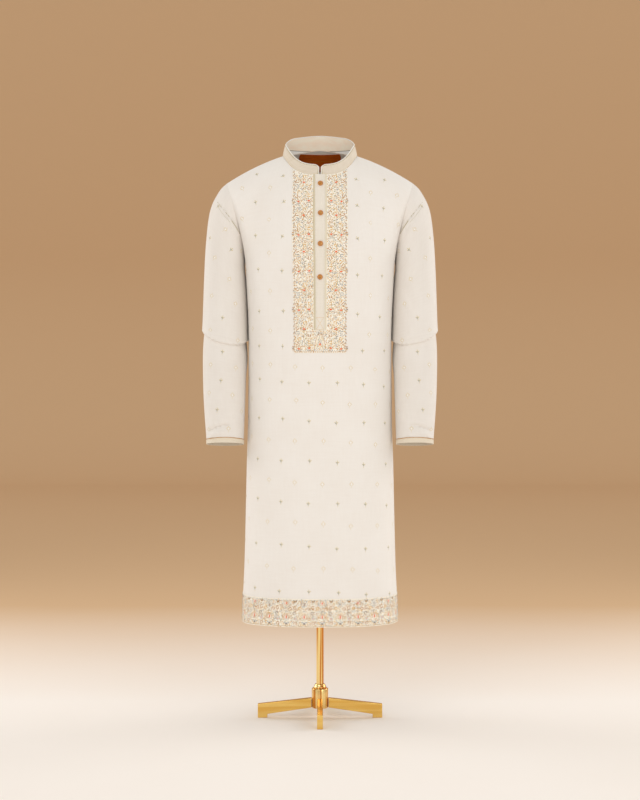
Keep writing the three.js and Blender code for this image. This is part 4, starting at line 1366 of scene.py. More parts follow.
@dataclass
class HemBorders:
    """Embroidered borders round the hem, front and back."""

    finishes: Finishes
    top_z: float = 289.0
    lift: float = 1.0
    thickness: float = 0.7
    period: float = 40.2
    start: float = 5.0
    middle_z: float = 257.0

    def build(self) -> dict[str, bpy.types.Object]:
        """Builds the ground and the stitches of both borders."""
        made = {}
        for name, panel in (("hem_border_front", FRONT), ("hem_border_back", BACK)):
            rows = np.linspace(0, body_row(self.top_z), 12)
            form = panel.layer(panel.columns(BODY_COLUMNS), rows, self.lift, self.thickness)
            made[name] = finished(form.build(name, [self.finishes.ground]), "embroidery", name)
            stitches = self.stitches(panel)
            column = panel.around(stitches[:, 0], self.middle_z)
            row = stitches[:, 1] / (ARMPIT_Z - HEM_Z)
            work = embroidered(stitches, panel.frame(column, row), self.lift, 0.5)
            piece = work.build(name.replace("border", "embroidery"), self.finishes.yarns)
            made[name + "_embroidery"] = finished(piece, "embroidery")
        return made

    def stitches(self, panel: Panel) -> Array:
        """Stitches of one border, as distance round the hem and height over it."""
        half = panel.arc(panel.fine(), self.middle_z)[-1]
        tall = self.top_z - HEM_Z
        units = [placed(border_unit(k % 2 == 0), self.start + k * self.period, 0) for k in range(-7, 8)]
        step = np.arange(-half + 3, half - 3, 4.6)
        sway = np.sin(1.9 * np.arange(len(step)))
        edges = [
            row_of(step + shift, height + 0.6 * sway, 0.3 * sway, length, 1.6, yarn)
            for height, shift, length, yarn in (
                (tall - 3.0, 1.0, 1.9, Yarn.SLATE), (2.4, 0, 2.4, Yarn.GOLD), (2.6, 2.3, 1.9, Yarn.SLATE))
        ]
        work = np.concatenate([*units, *edges])
        work = np.concatenate([work, seeds((-half, 4.0, half, tall - 3.4), work, 3.5, 11)])
        keep = (np.abs(work[:, 0]) < half - 2.2) & (work[:, 1] > 1) & (work[:, 1] < tall - 0.6)
        return work[keep]


@dataclass
class Placket:
    """Half placket of two folded strips, its stitching and its four buttons."""

    finishes: Finishes
    bottom_z: float = 889.0
    box_z: float = 917.0
    button_z: tuple[float, ...] = (1218.0, 1150.6, 1081.7, 1007.5)
    base_lift: float = 2.0
    strip_lift: float = 3.0
    thickness: float = 0.7

    def build(self) -> dict[str, bpy.types.Object]:
        """Builds the strips, their stitching and the buttons."""
        rows = np.concatenate([np.linspace(body_row(self.bottom_z), 1, 34), np.linspace(1, 2, 40)[1:]])
        layers = (("placket_base", 2, self.base_lift), ("placket_strip", 1, self.strip_lift))
        made = {}
        for name, column, lift in layers:
            columns = np.linspace(-column, column, 45)
            x = columns / column
            edge = 0.45 * np.abs(x) ** 8
            tucks = sum(0.4 * np.exp(-(((x - at) / 0.06) ** 2)) for at in (-0.6, 0.3)) if column == 1 else 0
            form = FRONT.layer(columns, rows, (lift - edge - tucks)[None, :], self.thickness)
            # The under strip's margins: the left one is olive as painted shadow beside the top strip, the
            # right one paler as painted light.
            if column == 2:
                middle = form.points[form.faces].mean(axis=1)[:, 0]
                form.finish = np.where(middle < -9, 1, np.where(middle > 9, 2, 0))
            finishes = [self.finishes.placket, self.finishes.edge_painted_shadow, self.finishes.edge_painted_light]
            made[name] = finished(form.build(name, finishes[: 3 if column == 2 else 1]), "placket", name)
        made["placket_stitching"] = self.stitching()
        for k, z in enumerate(self.button_z):
            made[f"button_{k + 1}"] = self.button(f"button_{k + 1}", z)
        return made

    def stitching(self) -> bpy.types.Object:
        """Stitch lines along both edges of each strip and a crossed box at the bottom."""
        low, high = self.bottom_z + 1.5, 1238.0
        lines, lifts = [], []
        # The olive line on the left margin and the pale line on the right add to the painted shadow and
        # painted light there.
        for x, lift, yarn in ((-13.2, self.base_lift, Yarn.OLIVE), (13.2, self.base_lift, Yarn.PALE),
                              (-8.6, self.strip_lift, Yarn.ASH), (8.6, self.strip_lift, Yarn.ASH)):
            line = vine(np.full(2, x), np.array([low, high]), yarn, 2.8, 0.55)
            lines.append(line)
            lifts.append(np.full(len(line), lift - 0.15))
        box = ((-8.2, low, 8.2, low), (-8.2, self.box_z, 8.2, self.box_z),
               (-8.2, low, 8.2, self.box_z), (-8.2, self.box_z, 8.2, low))
        for x0, z0, x1, z1 in box:
            line = vine(np.array([x0, x1]), np.array([z0, z1]), Yarn.GOLD, 2.6, 0.6)
            lines.append(line)
            lifts.append(np.full(len(line), self.strip_lift))
        forms = []
        for line, lift in zip(lines, lifts):
            column = FRONT.column_at(line[:, 0], line[:, 1])
            row = FRONT.row_at(column, line[:, 1])
            forms.append(embroidered(line, FRONT.frame(column, row), float(lift[0]), 0.5))
        return finished(joined(forms).build("placket_stitching", self.finishes.yarns), "placket")

    def button(self, name: str, z: float) -> bpy.types.Object:
        """A dished wooden button with four holes, sewn on with a cross of thread."""
        profile = [(0, 0), (4.6, 0), (5.4, 0.25), (5.85, 0.75), (6.0, 1.4), (5.9, 2.2), (5.5, 2.75),
                   (4.9, 3.0), (4.3, 2.85), (3.8, 2.45), (3.2, 2.2), (2.0, 2.1), (0, 2.1)]
        solid = turned_solid(profile, 40)
        turn = np.radians(45 + 90 * np.arange(4))
        holes = []
        for angle in turn:
            hole = turned_solid([(0, 2.0), (0.72, 2.0), (0.72, 2.14), (0, 2.14)], 12)
            hole.points = hole.points + [1.5 * math.cos(angle), 1.5 * math.sin(angle), 0]
            hole.finish[:] = 1
            holes.append(hole)
        thread = []
        for angle in turn[:2]:
            reach = np.linspace(-1.6, 1.6, 9)
            arch = 2.25 + 0.35 * (1 - (reach / 1.6) ** 2)
            path = point(reach * math.cos(angle), reach * math.sin(angle), arch)
            strand = tube(path, np.tile([0.0, 0.0, 1.0], (9, 1)), 0.32, 8)
            strand.finish[:] = 2
            thread.append(strand)
        form = joined([solid, *holes, *thread])
        row = FRONT.row_at(np.zeros(1), np.array([z]))
        at, across, up, out = (vectors[0] for vectors in FRONT.frame(np.zeros(1), row))
        x, y, height = np.split(form.points, 3, axis=1)
        form.points = at + x * across + y * up + (height + self.strip_lift + 0.3) * out
        dark = self.finishes.yarns[YARNS.index(Yarn.BROWN)]
        pale = self.finishes.yarns[YARNS.index(Yarn.GOLD)]
        return finished(form.build(name, [self.finishes.wood, dark, pale], 60), "buttons", name)


SLEEVE_ROWS = np.array([
    # row, outer x and z, inner x and z, half depth, y, tilt, how far the ring keeps the armhole's form
    [0, 213.5, 1227, 172.2, 1046, 60, 2, 0, 1],
    [1, 226.5, 1215, 172.9, 1043, 61, 1, 0, 0.86],
    [2, 237, 1199.5, 173.1, 1038, 61, 1, 0, 0.7],
    [3, 246.6, 1181, 173.1, 1032, 60, 0, 0, 0.53],
    [4, 253.5, 1159, 173, 1025, 59, 0, 0, 0.36],
    [5, 258, 1130, 172.6, 1016, 58, -1, 0, 0.2],
    [6, 261.6, 1092, 171.8, 1003, 56.5, -3, 0.01, 0.08],
    [7, 264.3, 1047, 170.8, 985, 55, -5, 0.02, 0],
    [8, 266.4, 994, 169.6, 958, 54, -8, 0.03, 0],
    [9, 268.0, 938, 168.6, 915, 52.5, -12, 0.04, 0],
    [10, 268.7, 902, 168.3, 879, 52, -15, 0.05, 0],
    [11, 268.8, 890, 168.2, 866, 51.8, -16, 0.055, 0],
    [12, 268.8, 884, 168.2, 861, 51.6, -17, 0.058, 0],
    [13, 268.7, 866, 168.3, 845, 51, -18, 0.07, 0],
    [14, 267.9, 808, 168.8, 797, 49, -25, 0.1, 0],
    [15, 266, 748, 170.2, 742, 48, -33, 0.12, 0],
    [16, 263, 700, 171.6, 697, 47, -40, 0.125, 0],
    [17, 260.2, 666, 172.6, 665, 46.5, -45, 0.127, 0],
    [18, 258.4, 642, 173.2, 642, 46, -48, 0.127, 0],
    [19, 257.8, 630.5, 173.2, 630.5, 46, -50, 0.127, 0],
])
CUFF_ROW, LAST_ROW = 18, 19


@dataclass
class Sleeve:
    """A sleeve set into the armhole, folded over below the elbow and turned up at the wrist."""

    finishes: Finishes
    side: int
    middle_x: float = 215.0
    lean_in: float = 8.0
    around: int = 104
    down: int = 190
    thickness: float = 1.2
    front_folds: tuple[Fold, ...] = (
        Fold(((238, 1186), (222, 1164), (205, 1144), (180, 1104)), 0.9, 9, edge=4.2),
        Fold(((234, 1163), (217, 1145), (200, 1124), (186, 1102)), -2.8, 4.0),
        Fold(((252, 1100), (246, 1060), (250, 1010)), 0.9, 12),
        Fold(((190, 1010), (204, 960), (230, 918)), -1.4, 11),
        Fold(((188, 838), (205, 800), (212, 756)), -0.9, 12),
        Fold(((256, 655), (240, 667), (222, 673), (196, 675)), -3.6, 4.2, edge=3.6),
        Fold(((250, 648), (230, 657), (205, 660)), 2.8, 4.5),
        Fold(((252, 644), (222, 649), (184, 645)), 2.2, 3.5, edge=2.2),
        Fold(((182, 700), (196, 690), (222, 688)), -0.9, 8),
    )
    back_folds: tuple[Fold, ...] = (
        Fold(((232, 1176), (216, 1150), (192, 1112)), -2.2, 11),
        Fold(((255, 1060), (236, 1020), (206, 990)), 1.6, 12),
        Fold(((180, 930), (206, 900), (248, 905)), -2.0, 9, edge=1.0),
        Fold(((182, 880), (212, 862), (250, 872)), 1.5, 9),
        Fold(((186, 760), (214, 740), (246, 752)), -1.2, 11),
        Fold(((186, 668), (216, 662), (250, 672)), -1.4, 7, edge=0.8),
        Fold(((184, 650), (210, 646), (246, 652)), 1.1, 5),
    )

    @property
    def word(self) -> str:
        """left or right."""
        return "left" if self.side < 0 else "right"

    def ring(self, row: Array, part: Array) -> Array:
        """Plain ring, a tilted squared ellipse: part 0 inside, 1 outside by way of the front, 2 inside."""
        table = look_up(SLEEVE_ROWS, row)
        out_x, out_z, in_x, in_z, depth, y, tilt, _ = np.moveaxis(table, -1, 0)
        across = squared(np.cos(np.pi * part), SLEEVE_EXPONENT)
        forward = depth * squared(np.sin(np.pi * part), SLEEVE_EXPONENT)
        x = (out_x + in_x) / 2 - across * (out_x - in_x) / 2
        z = (out_z + in_z) / 2 - across * (out_z - in_z) / 2 + forward * tilt
        return point(x, y - forward, z)

    def armhole(self, part: Array) -> Array:
        """Armhole seam, up the front panel's side and down the back panel's."""
        along = np.where(part <= 1, part, 2 - part)
        sides = []
        for panel in (FRONT, BACK):
            yoke = np.interp(along, np.linspace(0, 1, 11), panel.yoke_rows)
            sides.append(panel.surface(np.full(yoke.shape, float(panel.side_column)), 1 + yoke))
        seam = np.where((part <= 1)[..., None], *sides)
        return seam + [ARMHOLE_GAP, 0, 0]

    def plain(self, part: Array, row: Array) -> Array:
        """Sleeve without folds: its ring, bent to the armhole's form near the shoulder."""
        part, row = np.broadcast_arrays(np.asarray(part, float) % 2, np.asarray(row, float))
        weight = np.clip(np.interp(row, SLEEVE_ROWS[:, 0], SLEEVE_ROWS[:, 8]), 0, 1)
        form = self.armhole(part) - self.ring(np.zeros(row.shape), part)
        return self.ring(row, part) + form * weight[..., None]

    def steps(self, sheet: Callable[[Array, Array], Array], part: Array, row: Array) -> tuple[Array, Array]:
        """Unit vectors round the sleeve and down it."""
        around = sheet(part + PROBE, row) - sheet(part - PROBE, row)
        down = sheet(part, np.minimum(row + PROBE, LAST_ROW)) - sheet(part, np.maximum(row - PROBE, 0))
        return unit(around), unit(down)

    def elbow(self, at: Array, part: Array) -> Array:
        """How far the elbow's fold moves the cloth: a lip above its line and a drop below it."""
        front = np.sin(np.pi * part)
        line = 877 - 12 * np.cos(np.pi * part) - np.where(front > 0, 16.5, -6) * np.abs(front) ** 1.2
        below = line - at[..., 2]
        lip, drop = 1.3, -5.4
        above = lip * np.exp(np.minimum(below, 0) / 16)
        under = mix(lip, drop, ease(0, 1.6, below)) * np.exp(-np.maximum(below, 0) / 26)
        return np.where(below > 0, under, above)

    def cloth(self, part: Array, row: Array) -> Array:
        """Sleeve with its folds."""
        part, row = np.broadcast_arrays(np.asarray(part, float) % 2, np.asarray(row, float))
        at = self.plain(part, row)
        around, down = self.steps(self.plain, part, row)
        out = unit(np.cross(down, around))
        at_front = folded(self.front_folds, at[..., 0], at[..., 2])
        at_back = folded(self.back_folds, at[..., 0], at[..., 2])
        moved = np.where(part <= 1, at_front, at_back) * np.abs(np.sin(np.pi * part)) ** 0.35
        moved = moved + self.elbow(at, part)
        return at + out * moved[..., None] - self.lean(part, at[..., 2])[..., None] * [1, 0, 0]

    def lean(self, part: Array, z: Array) -> Array:
        """How far the back of the sleeve's inner side leans in behind the body, a bell round the sleeve."""
        away = (part - 1.8 + 1) % 2 - 1
        height = ease(770, 830, z) * (1 - ease(985, 1045, z))
        return self.lean_in * np.exp(-((away / 0.17) ** 2)) * height

    def frame(self, part: Array, row: Array) -> tuple[Array, Array, Array, Array]:
        """Point of the folded sleeve and its vectors round, up and out, on the sleeve's own side."""
        around, down = self.steps(self.cloth, part, row)
        out = unit(np.cross(down, around))
        flip = np.array([self.side, 1, 1])
        up = -unit(down - around * (around * down).sum(-1, keepdims=True))
        return self.cloth(part, row) * flip, around * flip * self.side, up * flip, out * flip

    def shell(self, rows: Array, lift: float) -> Form:
        """A closed wall between two rows of the sleeve."""
        part = np.linspace(0, 2, self.around, endpoint=False)
        grid_part, grid_row = np.meshgrid(part, rows)
        at, _, _, out = self.frame(grid_part, grid_row)
        closed = np.concatenate([at, at[:, :1]], axis=1)
        around = grid_lengths(closed, 1)
        centre = around[:, self.around // 2][:, None]
        down = grid_lengths(at, 0).mean(axis=1)
        uv = np.stack(np.broadcast_arrays(around - centre, -down[:, None]), axis=-1)
        form = wall(at + out * lift, at + out * (lift - self.thickness), uv, closed=True)
        return form.turned() if self.side > 0 else form

    def spot(self, x: Array, z: Array, back: bool) -> tuple[Array, Array]:
        """Part and row of the plain sleeve at a place seen square on, by halving both ways."""
        low, high = np.zeros(x.shape), np.ones(x.shape)
        for _ in range(18):
            part = (low + high) / 2
            row = self.row_at(2 - part if back else part, z)
            inside = self.plain(2 - part if back else part, row)[..., 0] < x
            low, high = np.where(inside, part, low), np.where(inside, high, part)
        return (2 - part if back else part), row

    def row_at(self, part: Array, z: Array) -> Array:
        """Row at which the plain sleeve passes a height, by halving."""
        ends = np.zeros(part.shape), np.full(part.shape, float(LAST_ROW))
        return halved(*ends, lambda row: self.plain(part, row)[..., 2] > z, 20)

    def sprigs(self) -> Form:
        """Dark and light sprigs down the sleeve, and on its back the same ones turned about its middle."""
        dark = np.array([
            (232, 1171), (202, 1072), (251, 1099), (221, 917), (221, 840), (224, 775), (232, 709),
        ], float)
        light = np.array([
            (215, 1118), (239, 1054), (180, 1070), (192, 949), (246, 967), (249, 889), (187, 866), (248, 811),
            (190, 804), (251, 747), (198, 742), (206, 667), (252, 664), (178, 705), (206, 1005),
        ], float)
        outer = (((1.0, 1052), (1.17, 975), (1.02, 893), (1.16, 805), (1.02, 735), (1.16, 672)),
                 ((1.2, 1110), (1.1, 1013), (1.04, 930), (1.14, 850), (1.04, 772), (1.16, 738), (1.05, 690)))
        forms = []
        for motif, places, edge in ((dark_sprig(), dark, outer[0]), (light_sprig(), light, outer[1])):
            for back in (False, True):
                x, z = places.T
                x, z = (2 * self.middle_x - x, z - 24) if back else (x, z)
                forms.extend(self.sprig(motif, *self.spot(x, z, back), back))
            part, z = np.array(edge, float).T
            forms.extend(self.sprig(motif, part, self.row_at(part, z), True))
        return joined(forms)

    def sprig(self, motif: Array, part: Array, row: Array, back: bool) -> list[Form]:
        """A motif at each of some places of the sleeve, its sides changed over on the back."""
        at, across, up, out = self.frame(part, row)
        return sewn(motif, (at, -across if back else across, up, out))

    def stitching(self) -> Form:
        """Gold stitches round the wrist band."""
        count = 94
        part = np.arange(count) * 2 / count
        wave = CUFF_ROW + 0.04 + 0.05 * np.sin(3 * np.pi * part)
        level = np.full(count, CUFF_ROW + 0.34)
        return joined([
            embroidered(marks(count, 2.6, 2.0, Yarn.OCHRE), self.frame(part, wave), 0.5, 0.5),
            embroidered(marks(count, 2.0, 0.6, Yarn.PALE), self.frame(part, level), 0.45, 0.4),
        ])

    def tuck_stitches_and_painted_shadow(self) -> Form:
        """Olive stitches along the crisp fold under the shoulder, and a paler ash row 8 mm below it, painted
        in as the fold's shadow.
        """
        x, z = np.array([234, 222, 205, 182.0]), np.array([1182, 1165, 1145.5, 1109.0])
        line = np.concatenate([
            vine(x, z, Yarn.OLIVE, 2.8, 2.0), vine(x[:3] - 1, z[:3] - 11, Yarn.ASH, 2.6, 1.3),
        ])
        at, across, up, out = self.frame(*self.spot(line[:, 0], line[:, 1], False))
        line[:, 2] = math.pi - line[:, 2] if self.side < 0 else line[:, 2]
        return embroidered(line, (at, across, up, out), 0.0, 0.5)

    def build(self) -> dict[str, bpy.types.Object]:
        """Builds the sleeve, its band, its sprigs, its stitches and the painted shadow row under the shoulder
        fold.
        """
        fine = self.rows()
        name = f"sleeve_{self.word}"
        # The sleeve's cloth is painted a little darker than the panels' as shade.
        made = {name: finished(self.shell(fine, 0.0).build(name, [self.finishes.sleeve]), "cloth", name)}
        band = f"cuff_{self.word}"
        rows = np.linspace(CUFF_ROW + 0.03, CUFF_ROW + 1, 8)
        made[band] = finished(self.shell(rows, 0.45).build(band, [self.finishes.cuff]), "cuff", band)
        sprigs = self.sprigs().build(f"sleeve_sprigs_{self.word}", self.finishes.yarns)
        made[sprigs.name] = finished(sprigs, "embroidery")
        stitches = self.stitching().build(f"cuff_stitching_{self.word}", self.finishes.yarns)
        made[stitches.name] = finished(stitches, "cuff")
        tuck = self.tuck_stitches_and_painted_shadow().build(f"sleeve_tuck_stitching_{self.word}", self.finishes.yarns)
        made[tuck.name] = finished(tuck, "cloth")
        return made

    def rows(self) -> Array:
        """Rows an equal height apart down the outer side."""
        fine = np.linspace(0, CUFF_ROW, 900)
        line = self.plain(np.full(900, 1.0), fine)
        along = lengths_along(line)
        return np.interp(np.linspace(0, along[-1], self.down), along, fine)


@dataclass
class Collar:
    """Band collar, open at the front, with its facing and the white piping round its edge."""

    finishes: Finishes
    opening: float = 5.4
    corner: float = 12.0
    wall: float = 2.0
    piping: float = 1.05
    rise: Array = field(default_factory=lambda: np.array([
        # angle round the neck, how far the top edge lies inward, back and up of the base
        [0, 0, 17, 24], [90, 6, -1, 26], [130, 2.5, -5, 34.5], [152, 0.8, -6, 34], [180, 0, -6, 31.5],
    ]))

    def half(self, column: Array, part: Array) -> Array:
        """Right half of the band: seam + part × height × (−inward, back, up), its corner rounded off."""
        column, part = np.broadcast_arrays(np.asarray(column, float), np.asarray(part, float))
        total = FRONT.neck_column + BACK.neck_column
        at_back = column > FRONT.neck_column
        own = np.where(at_back, total - column, column)
        two = np.full(column.shape, 2.0)
        base = np.where(at_back[..., None], BACK.surface(own, two), FRONT.surface(own, two))
        angle = np.where(at_back, 180 - BACK.place(own)[1], FRONT.place(own)[1])
        inward, back, up = np.moveaxis(look_up(self.rise, angle), -1, 0)
        from_end = np.where(column < 2, base[..., 0] - self.opening / 2, self.corner)
        short = np.clip(1 - from_end / self.corner, 0, 1)
        rise = np.hypot(back, up)
        height = 1 - self.corner * (1 - np.sqrt(1 - short**2)) / rise
        return base + point(-inward, back, up) * (part * height + 0.6 / rise)[..., None]

    def band(self, along: Array, part: Array) -> Array:
        """Whole band: along runs from 0 at its right front end to 2 at its left one."""
        along, part = np.broadcast_arrays(np.asarray(along, float), np.asarray(part, float))
        total = FRONT.neck_column + BACK.neck_column
        first = angle_at(self.opening / 2, NECK_HALF_WIDTH, NECK_EXPONENT) / FRONT.place(1.0)[1]
        at = self.half(mix(first, total, np.where(along <= 1, along, 2 - along)), part)
        return at * np.where(along <= 1, 1, -1)[..., None] ** np.array([1, 0, 0])

    def frame(self, along: Array, part: Array) -> tuple[Array, Array, Array, Array]:
        """Point and vectors along, up and out."""
        step = 2e-4
        after, before = np.minimum(along + step, 2), np.maximum(along - step, 0)
        across = unit(self.band(after, part) - self.band(before, part))
        over, under = np.minimum(part + step, 1), np.maximum(part - step, 0)
        up = unit(self.band(along, over) - self.band(along, under))
        out = unit(np.cross(across, up))
        return self.band(along, part), across, unit(np.cross(out, across)), out

    def build(self) -> dict[str, bpy.types.Object]:
        """Builds the band, its piping and its edge stitching, which carries painted shadow under the piping.
        """
        near = 1 - np.cos(np.linspace(0, np.pi / 2, 16))
        along = np.concatenate([0.09 * near, np.linspace(0.09, 1.91, 150)[1:-1], 2 - 0.09 * near[::-1]])
        part = np.linspace(0, 1, 12)
        grid_along, grid_part = np.meshgrid(along, part)
        at, _, _, out = self.frame(grid_along, grid_part)
        crown = (0.35 * np.sin(np.pi * grid_part))[..., None]
        uv = np.stack([grid_lengths(at, 1), grid_lengths(at, 0)], axis=-1)
        form = wall(at + out * crown, at + out * (crown - self.wall), uv, lining=1)
        band = form.build("collar", [self.finishes.collar, self.finishes.facing])
        collar = finished(band, "collar", "collar")
        return {"collar": collar, "collar_piping": self.cord(along), "collar_stitching_and_painted_shadow": self.stitching()}

    def cord(self, along: Array) -> bpy.types.Object:
        """Piping up the right front end, along the top edge and down the left end, set on the edge."""
        ends = np.linspace(0.06, 0.96, 10)
        way = np.concatenate([np.zeros(10), along, np.full(10, 2.0)])
        height = np.concatenate([ends, np.ones(len(along)), ends[::-1]])
        at, _, _, out = self.frame(way, height)
        path = at - out * self.wall / 2
        forward = unit(np.gradient(path, axis=0))
        away = unit(np.cross(out, forward))
        path = path + away * (self.piping * 0.75)
        form = tube(path, out, self.piping, 10)
        return finished(form.build("collar_piping", [self.finishes.piping]), "piping", "collar_piping")

    def stitching(self) -> bpy.types.Object:
        """Olive stitches inside the edge and down both fronts, darkened as painted shadow under the piping,
        and a pale line along the base.
        """
        forms = []
        along = np.linspace(0.03, 1.97, 190)
        # The olive stitches stand in for the shadow under the piping as well as for stitching.
        line = marks(190, 2.3, 1.5, Yarn.OLIVE)
        forms.append(embroidered(line, self.frame(along, np.full(190, 0.925)), 0.25, 0.5))
        for way in (0.012, 1.988):
            line = marks(8, 2.3, 0.9, Yarn.OLIVE, math.pi / 2)
            forms.append(embroidered(line, self.frame(np.full(8, way), np.linspace(0.06, 0.6, 8)), 0.25, 0.5))
        along = np.linspace(0.01, 1.99, 170)
        line = marks(170, 2.2, 0.55, Yarn.PALE)
        forms.append(embroidered(line, self.frame(along, np.full(170, 0.1)), 0.2, 0.4))
        return finished(joined(forms).build("collar_stitching_and_painted_shadow", self.finishes.yarns), "collar")


@dataclass
class NeckLabel:
    """Bare woven label sewn inside the back of the neck."""

    finishes: Finishes
    half_width: float = 49.0
    heights: tuple[float, float] = (1262.0, 1300.5)
    lift: float = -1.9
    thickness: float = 0.7

    def place(self, across: Array, up: Array) -> tuple[Array, Array]:
        """Columns and rows of the back panel at parts of the label's width and height."""
        column = across * 2
        z = mix(self.heights[0], self.heights[1], up)
        return column, BACK.row_at(column, z)

    def build(self) -> dict[str, bpy.types.Object]:
        """Builds the label, its top corners rounded: the height there falls as a quarter circle."""
        grid_across, grid_up = np.meshgrid(np.linspace(-1, 1, 41), np.linspace(0, 1, 15))
        corner = np.clip((np.abs(grid_across) - 0.88) / 0.12, 0, 1)
        top = 1 - 0.16 * (1 - np.sqrt(1 - corner**2))
        at, _, _, out = BACK.frame(*self.place(grid_across, grid_up * top))
        uv = np.stack([grid_across * self.half_width, grid_up * 37], axis=-1)
        form = wall(at + out * self.lift, at + out * (self.lift - self.thickness), uv).turned()
        label = finished(form.build("neck_label", [self.finishes.label]), "label", "neck_label")
        t = np.linspace(-0.88, 0.88, 56)
        line = marks(56, 2.2, 0.7, Yarn.OCHRE)
        arc = 0.3 + 0.34 * np.sqrt(1 - (t / 0.95) ** 2)
        at, across, up, out = BACK.frame(*self.place(t, arc))
        stitches = embroidered(line, (at, across, up, -out), -self.lift + self.thickness, 0.4)
        seam = finished(stitches.build("label_stitching", self.finishes.yarns), "label")
        return {"neck_label": label, "label_stitching": seam}


# ---------------------------------------------------------------- stand


@dataclass
class Stand:
    """Brass pole stand: crossed feet, hub, ferrule, pole and the bar inside the shoulders."""

    finishes: Finishes
    leg_width: float = 13.0
    leg_profile: tuple[tuple[float, float], ...] = (
        (19.3, 23.5), (121, 8.5), (121, 0), (143, 0), (143, 31.5), (19.3, 45.5))

    def build(self) -> dict[str, bpy.types.Object]:
        """Builds every part of the stand."""
        made = {}
        turned = {
            "hub": [(0, 22), (16, 22), (17.6, 22.4), (18.6, 23.3), (19, 24.6), (19, 65.4), (18.6, 66.7),
                    (17.6, 67.6), (16, 68), (0, 68)],
            "pole": [(0, 68.3), (8.5, 68.3), (8.5, 500), (8.5, 900), (8.5, 1217.2), (8.0, 1217.7),
                     (0, 1217.7)],
        }
        for name, profile in turned.items():
            made[name] = self.piece(turned_solid(profile, 64), name)
        made["ferrule"] = self.ferrule()
        made["shoulder_bar"] = self.bar()
        for k, name in enumerate(("leg_right", "leg_back", "leg_left", "leg_front")):
            made[name] = self.leg(name, k)
        return made

    def piece(self, form: Form, name: str) -> bpy.types.Object:
        """Makes one brass piece."""
        return finished(form.build(name, [self.finishes.brass], 50), "stand", name)

    def ferrule(self) -> bpy.types.Object:
        """A ring round the pole's foot, its section carried round the axis and joined to itself."""
        section = np.array([(8.8, 68.3), (14.1, 68.3), (14.5, 68.7), (14.5, 70.4), (14.1, 71.2), (13.2, 72.4),
                            (12.2, 74.4), (11.5, 76.2), (11.0, 77.1), (10.4, 77.5), (8.8, 77.5)])
        turn = np.linspace(0, 2 * np.pi, 64, endpoint=False)
        loop = np.vstack([section, section[:1]])
        points = point(loop[:, :1] * np.cos(turn), loop[:, :1] * np.sin(turn), loop[:, 1:])
        faces, corners = lattice(len(loop), 64, closed=True)
        uv = np.stack(np.meshgrid(np.linspace(0, 90, 65), np.arange(len(loop)) * 2.0), axis=-1)
        faces = np.where(faces >= len(section) * 64, faces - len(section) * 64, faces)
        form = Form.of(points[:-1], faces, uv.reshape(-1, 2)[corners])
        return self.piece(form, "ferrule")

    def bar(self) -> bpy.types.Object:
        """An oval bar along the shoulders: (x, 5 + 13 cos a, m(x) + 7 sin a), low where the neck is open."""
        x = np.linspace(-196, 196, 90)
        distance = np.abs(x)
        top = mix(1232.0, shoulder_z(np.maximum(distance, 97.0)) - 2.8, ease(0, 97, distance))
        turn = np.linspace(0, 2 * np.pi, 28, endpoint=False)
        shrink = np.ones((92, 1))
        shrink[[0, -1]] = 0.05
        x, top = np.pad(x, 1, mode="edge")[:, None], np.pad(top, 1, mode="edge")[:, None]
        points = point(x, 5 + 13 * shrink * np.cos(turn), top - 7 + 7 * shrink * np.sin(turn))
        faces, corners = lattice(92, 28, closed=True)
        uv = np.stack(np.meshgrid(np.linspace(0, 65, 29), np.linspace(-196, 196, 92)), axis=-1)
        return self.piece(Form.of(points, faces, uv.reshape(-1, 2)[corners]), "shoulder_bar")

    def leg(self, name: str, quarter: int) -> bpy.types.Object:
        """A foot: its side profile given the leg's width and turned round the pole, its edges bevelled."""
        profile = np.array(self.leg_profile)
        half = self.leg_width / 2
        cos, sin = math.cos(quarter * math.pi / 2), math.sin(quarter * math.pi / 2)
        sides = [point(profile[:, 0], np.full(6, y), profile[:, 1]) for y in (-half, half)]
        points = np.concatenate(sides) @ np.array([[cos, sin, 0], [-sin, cos, 0], [0, 0, 1]])
        ring = np.arange(6)
        rim = np.stack([ring, (ring + 1) % 6, (ring + 1) % 6 + 6, ring + 6], axis=1)
        mesh = bpy.data.meshes.new(name)
        front = [5, 4, 3, 2, 1, 0]
        faces = [front[::-1], [k + 6 for k in front], *rim[:, ::-1].tolist()]
        mesh.from_pydata((points * METRE).tolist(), [], faces)
        mesh.materials.append(self.finishes.feet)
        mesh.polygons.foreach_set("use_smooth", np.ones(len(faces), bool))
        mesh.set_sharp_from_angle(angle=math.radians(60))
        leg = linked(name, mesh)
        bevel = leg.modifiers.new("edges", "BEVEL")
        bevel.width, bevel.segments, bevel.limit_method = 1.2 * METRE, 3, "NONE"
        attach(leg, ROOT)
        return finished(leg, "stand", name)


# ---------------------------------------------------------------- studio


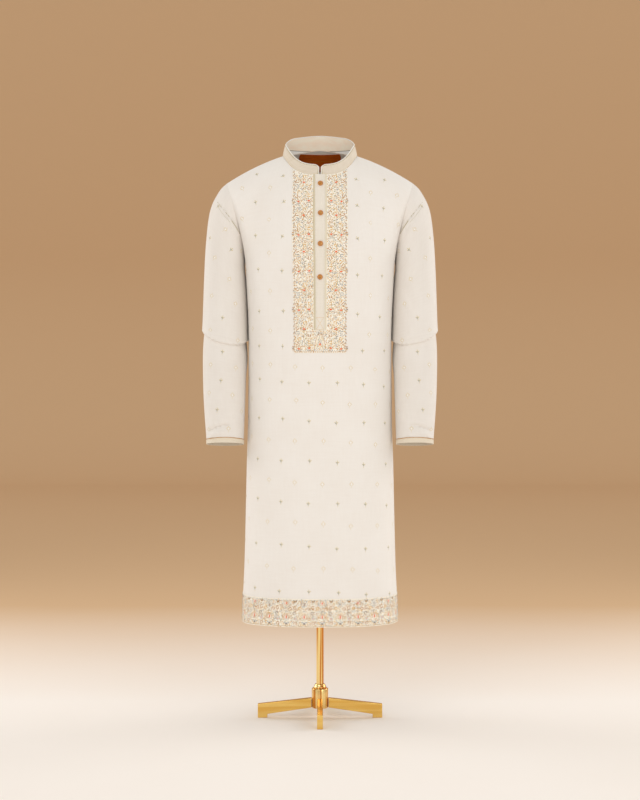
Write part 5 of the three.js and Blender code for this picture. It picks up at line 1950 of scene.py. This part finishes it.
@dataclass
class Studio:
    """Pale floor that curves up behind, soft lights and the camera."""

    camera_y: float = -4.37
    camera_z: float = 0.84
    shift: float = -0.06
    lens: float = 85.5

    def build(self) -> None:
        """Sets the stage."""
        self.floor()
        self.light("key_light", (-1.4, -3.6, 2.7), (0, 0, 0.85), 2.4, 25)
        self.light("fill_light", (1.9, -3.3, 1.5), (0, 0, 0.8), 2.2, 19)
        self.light("rim_left", (-2.3, 1.0, 1.5), (0, 0, 0.9), 1.4, 17)
        self.light("rim_right", (2.3, 1.0, 1.5), (0, 0, 0.9), 1.4, 17)
        world = bpy.data.worlds.new("soft_room")
        world.use_nodes = True
        background = world.node_tree.nodes["Background"]
        background.inputs["Color"].default_value = colour(243, 239, 233)
        background.inputs["Strength"].default_value = 0.79
        bpy.context.scene.world = world
        view = bpy.context.scene.view_settings
        view.view_transform, view.look, view.exposure, view.gamma = "Standard", "None", 0, 1
        camera = bpy.data.cameras.new("camera")
        camera.lens, camera.sensor_width, camera.shift_y = self.lens, 36, self.shift
        holder = linked("camera", camera)
        holder.location = (0, self.camera_y, self.camera_z)
        holder.rotation_euler = (math.radians(90), 0, 0)
        bpy.context.scene.camera = holder

    def floor(self) -> None:
        """Floor and back wall in one sheet: a quarter circle of 1.5 m joins them."""
        turn = np.linspace(0, np.pi / 2, 24)
        y = np.concatenate([[-9000], 7500 + 1500 * np.sin(turn), [9000]])
        z = np.concatenate([[0], 1500 - 1500 * np.cos(turn), [7000]])
        x = np.array([-9000.0, 9000.0])
        points = point(x[None, :], y[:, None], z[:, None])
        faces, _ = lattice(len(y), 2)
        mesh = bpy.data.meshes.new("floor")
        mesh.from_pydata((points.reshape(-1, 3) * METRE).tolist(), [], faces.tolist())
        mesh.polygons.foreach_set("use_smooth", np.ones(len(faces), bool))
        mesh.materials.append(Backdrop().build())
        floor = linked("floor", mesh)

    def light(self, name: str, place: tuple[float, float, float], aim: tuple[float, float, float],
              size: float, watts: float) -> None:
        """A square soft light that faces a point."""
        lamp = bpy.data.lights.new(name, "AREA")
        lamp.shape, lamp.size, lamp.energy = "SQUARE", size, watts
        holder = linked(name, lamp)
        direction = np.array(place) - np.array(aim)
        flat = math.hypot(direction[0], direction[1])
        holder.location = place
        holder.rotation_euler = (math.atan2(flat, direction[2]), 0, math.atan2(direction[0], -direction[1]))


# ---------------------------------------------------------------- all together


def main() -> None:
    """Builds the garment, its stand and the studio."""
    logging.basicConfig(level=logging.INFO, format="%(name)s: %(message)s")
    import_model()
    finishes = Finishes.mixed()
    for part in (Body(finishes), Bib(finishes), HemBorders(finishes), Placket(finishes), Sleeve(finishes, -1),
                 Sleeve(finishes, 1), Collar(finishes), NeckLabel(finishes), Stand(finishes)):
        part.build()
    Studio().build()


if __name__ == "__main__":
    main()
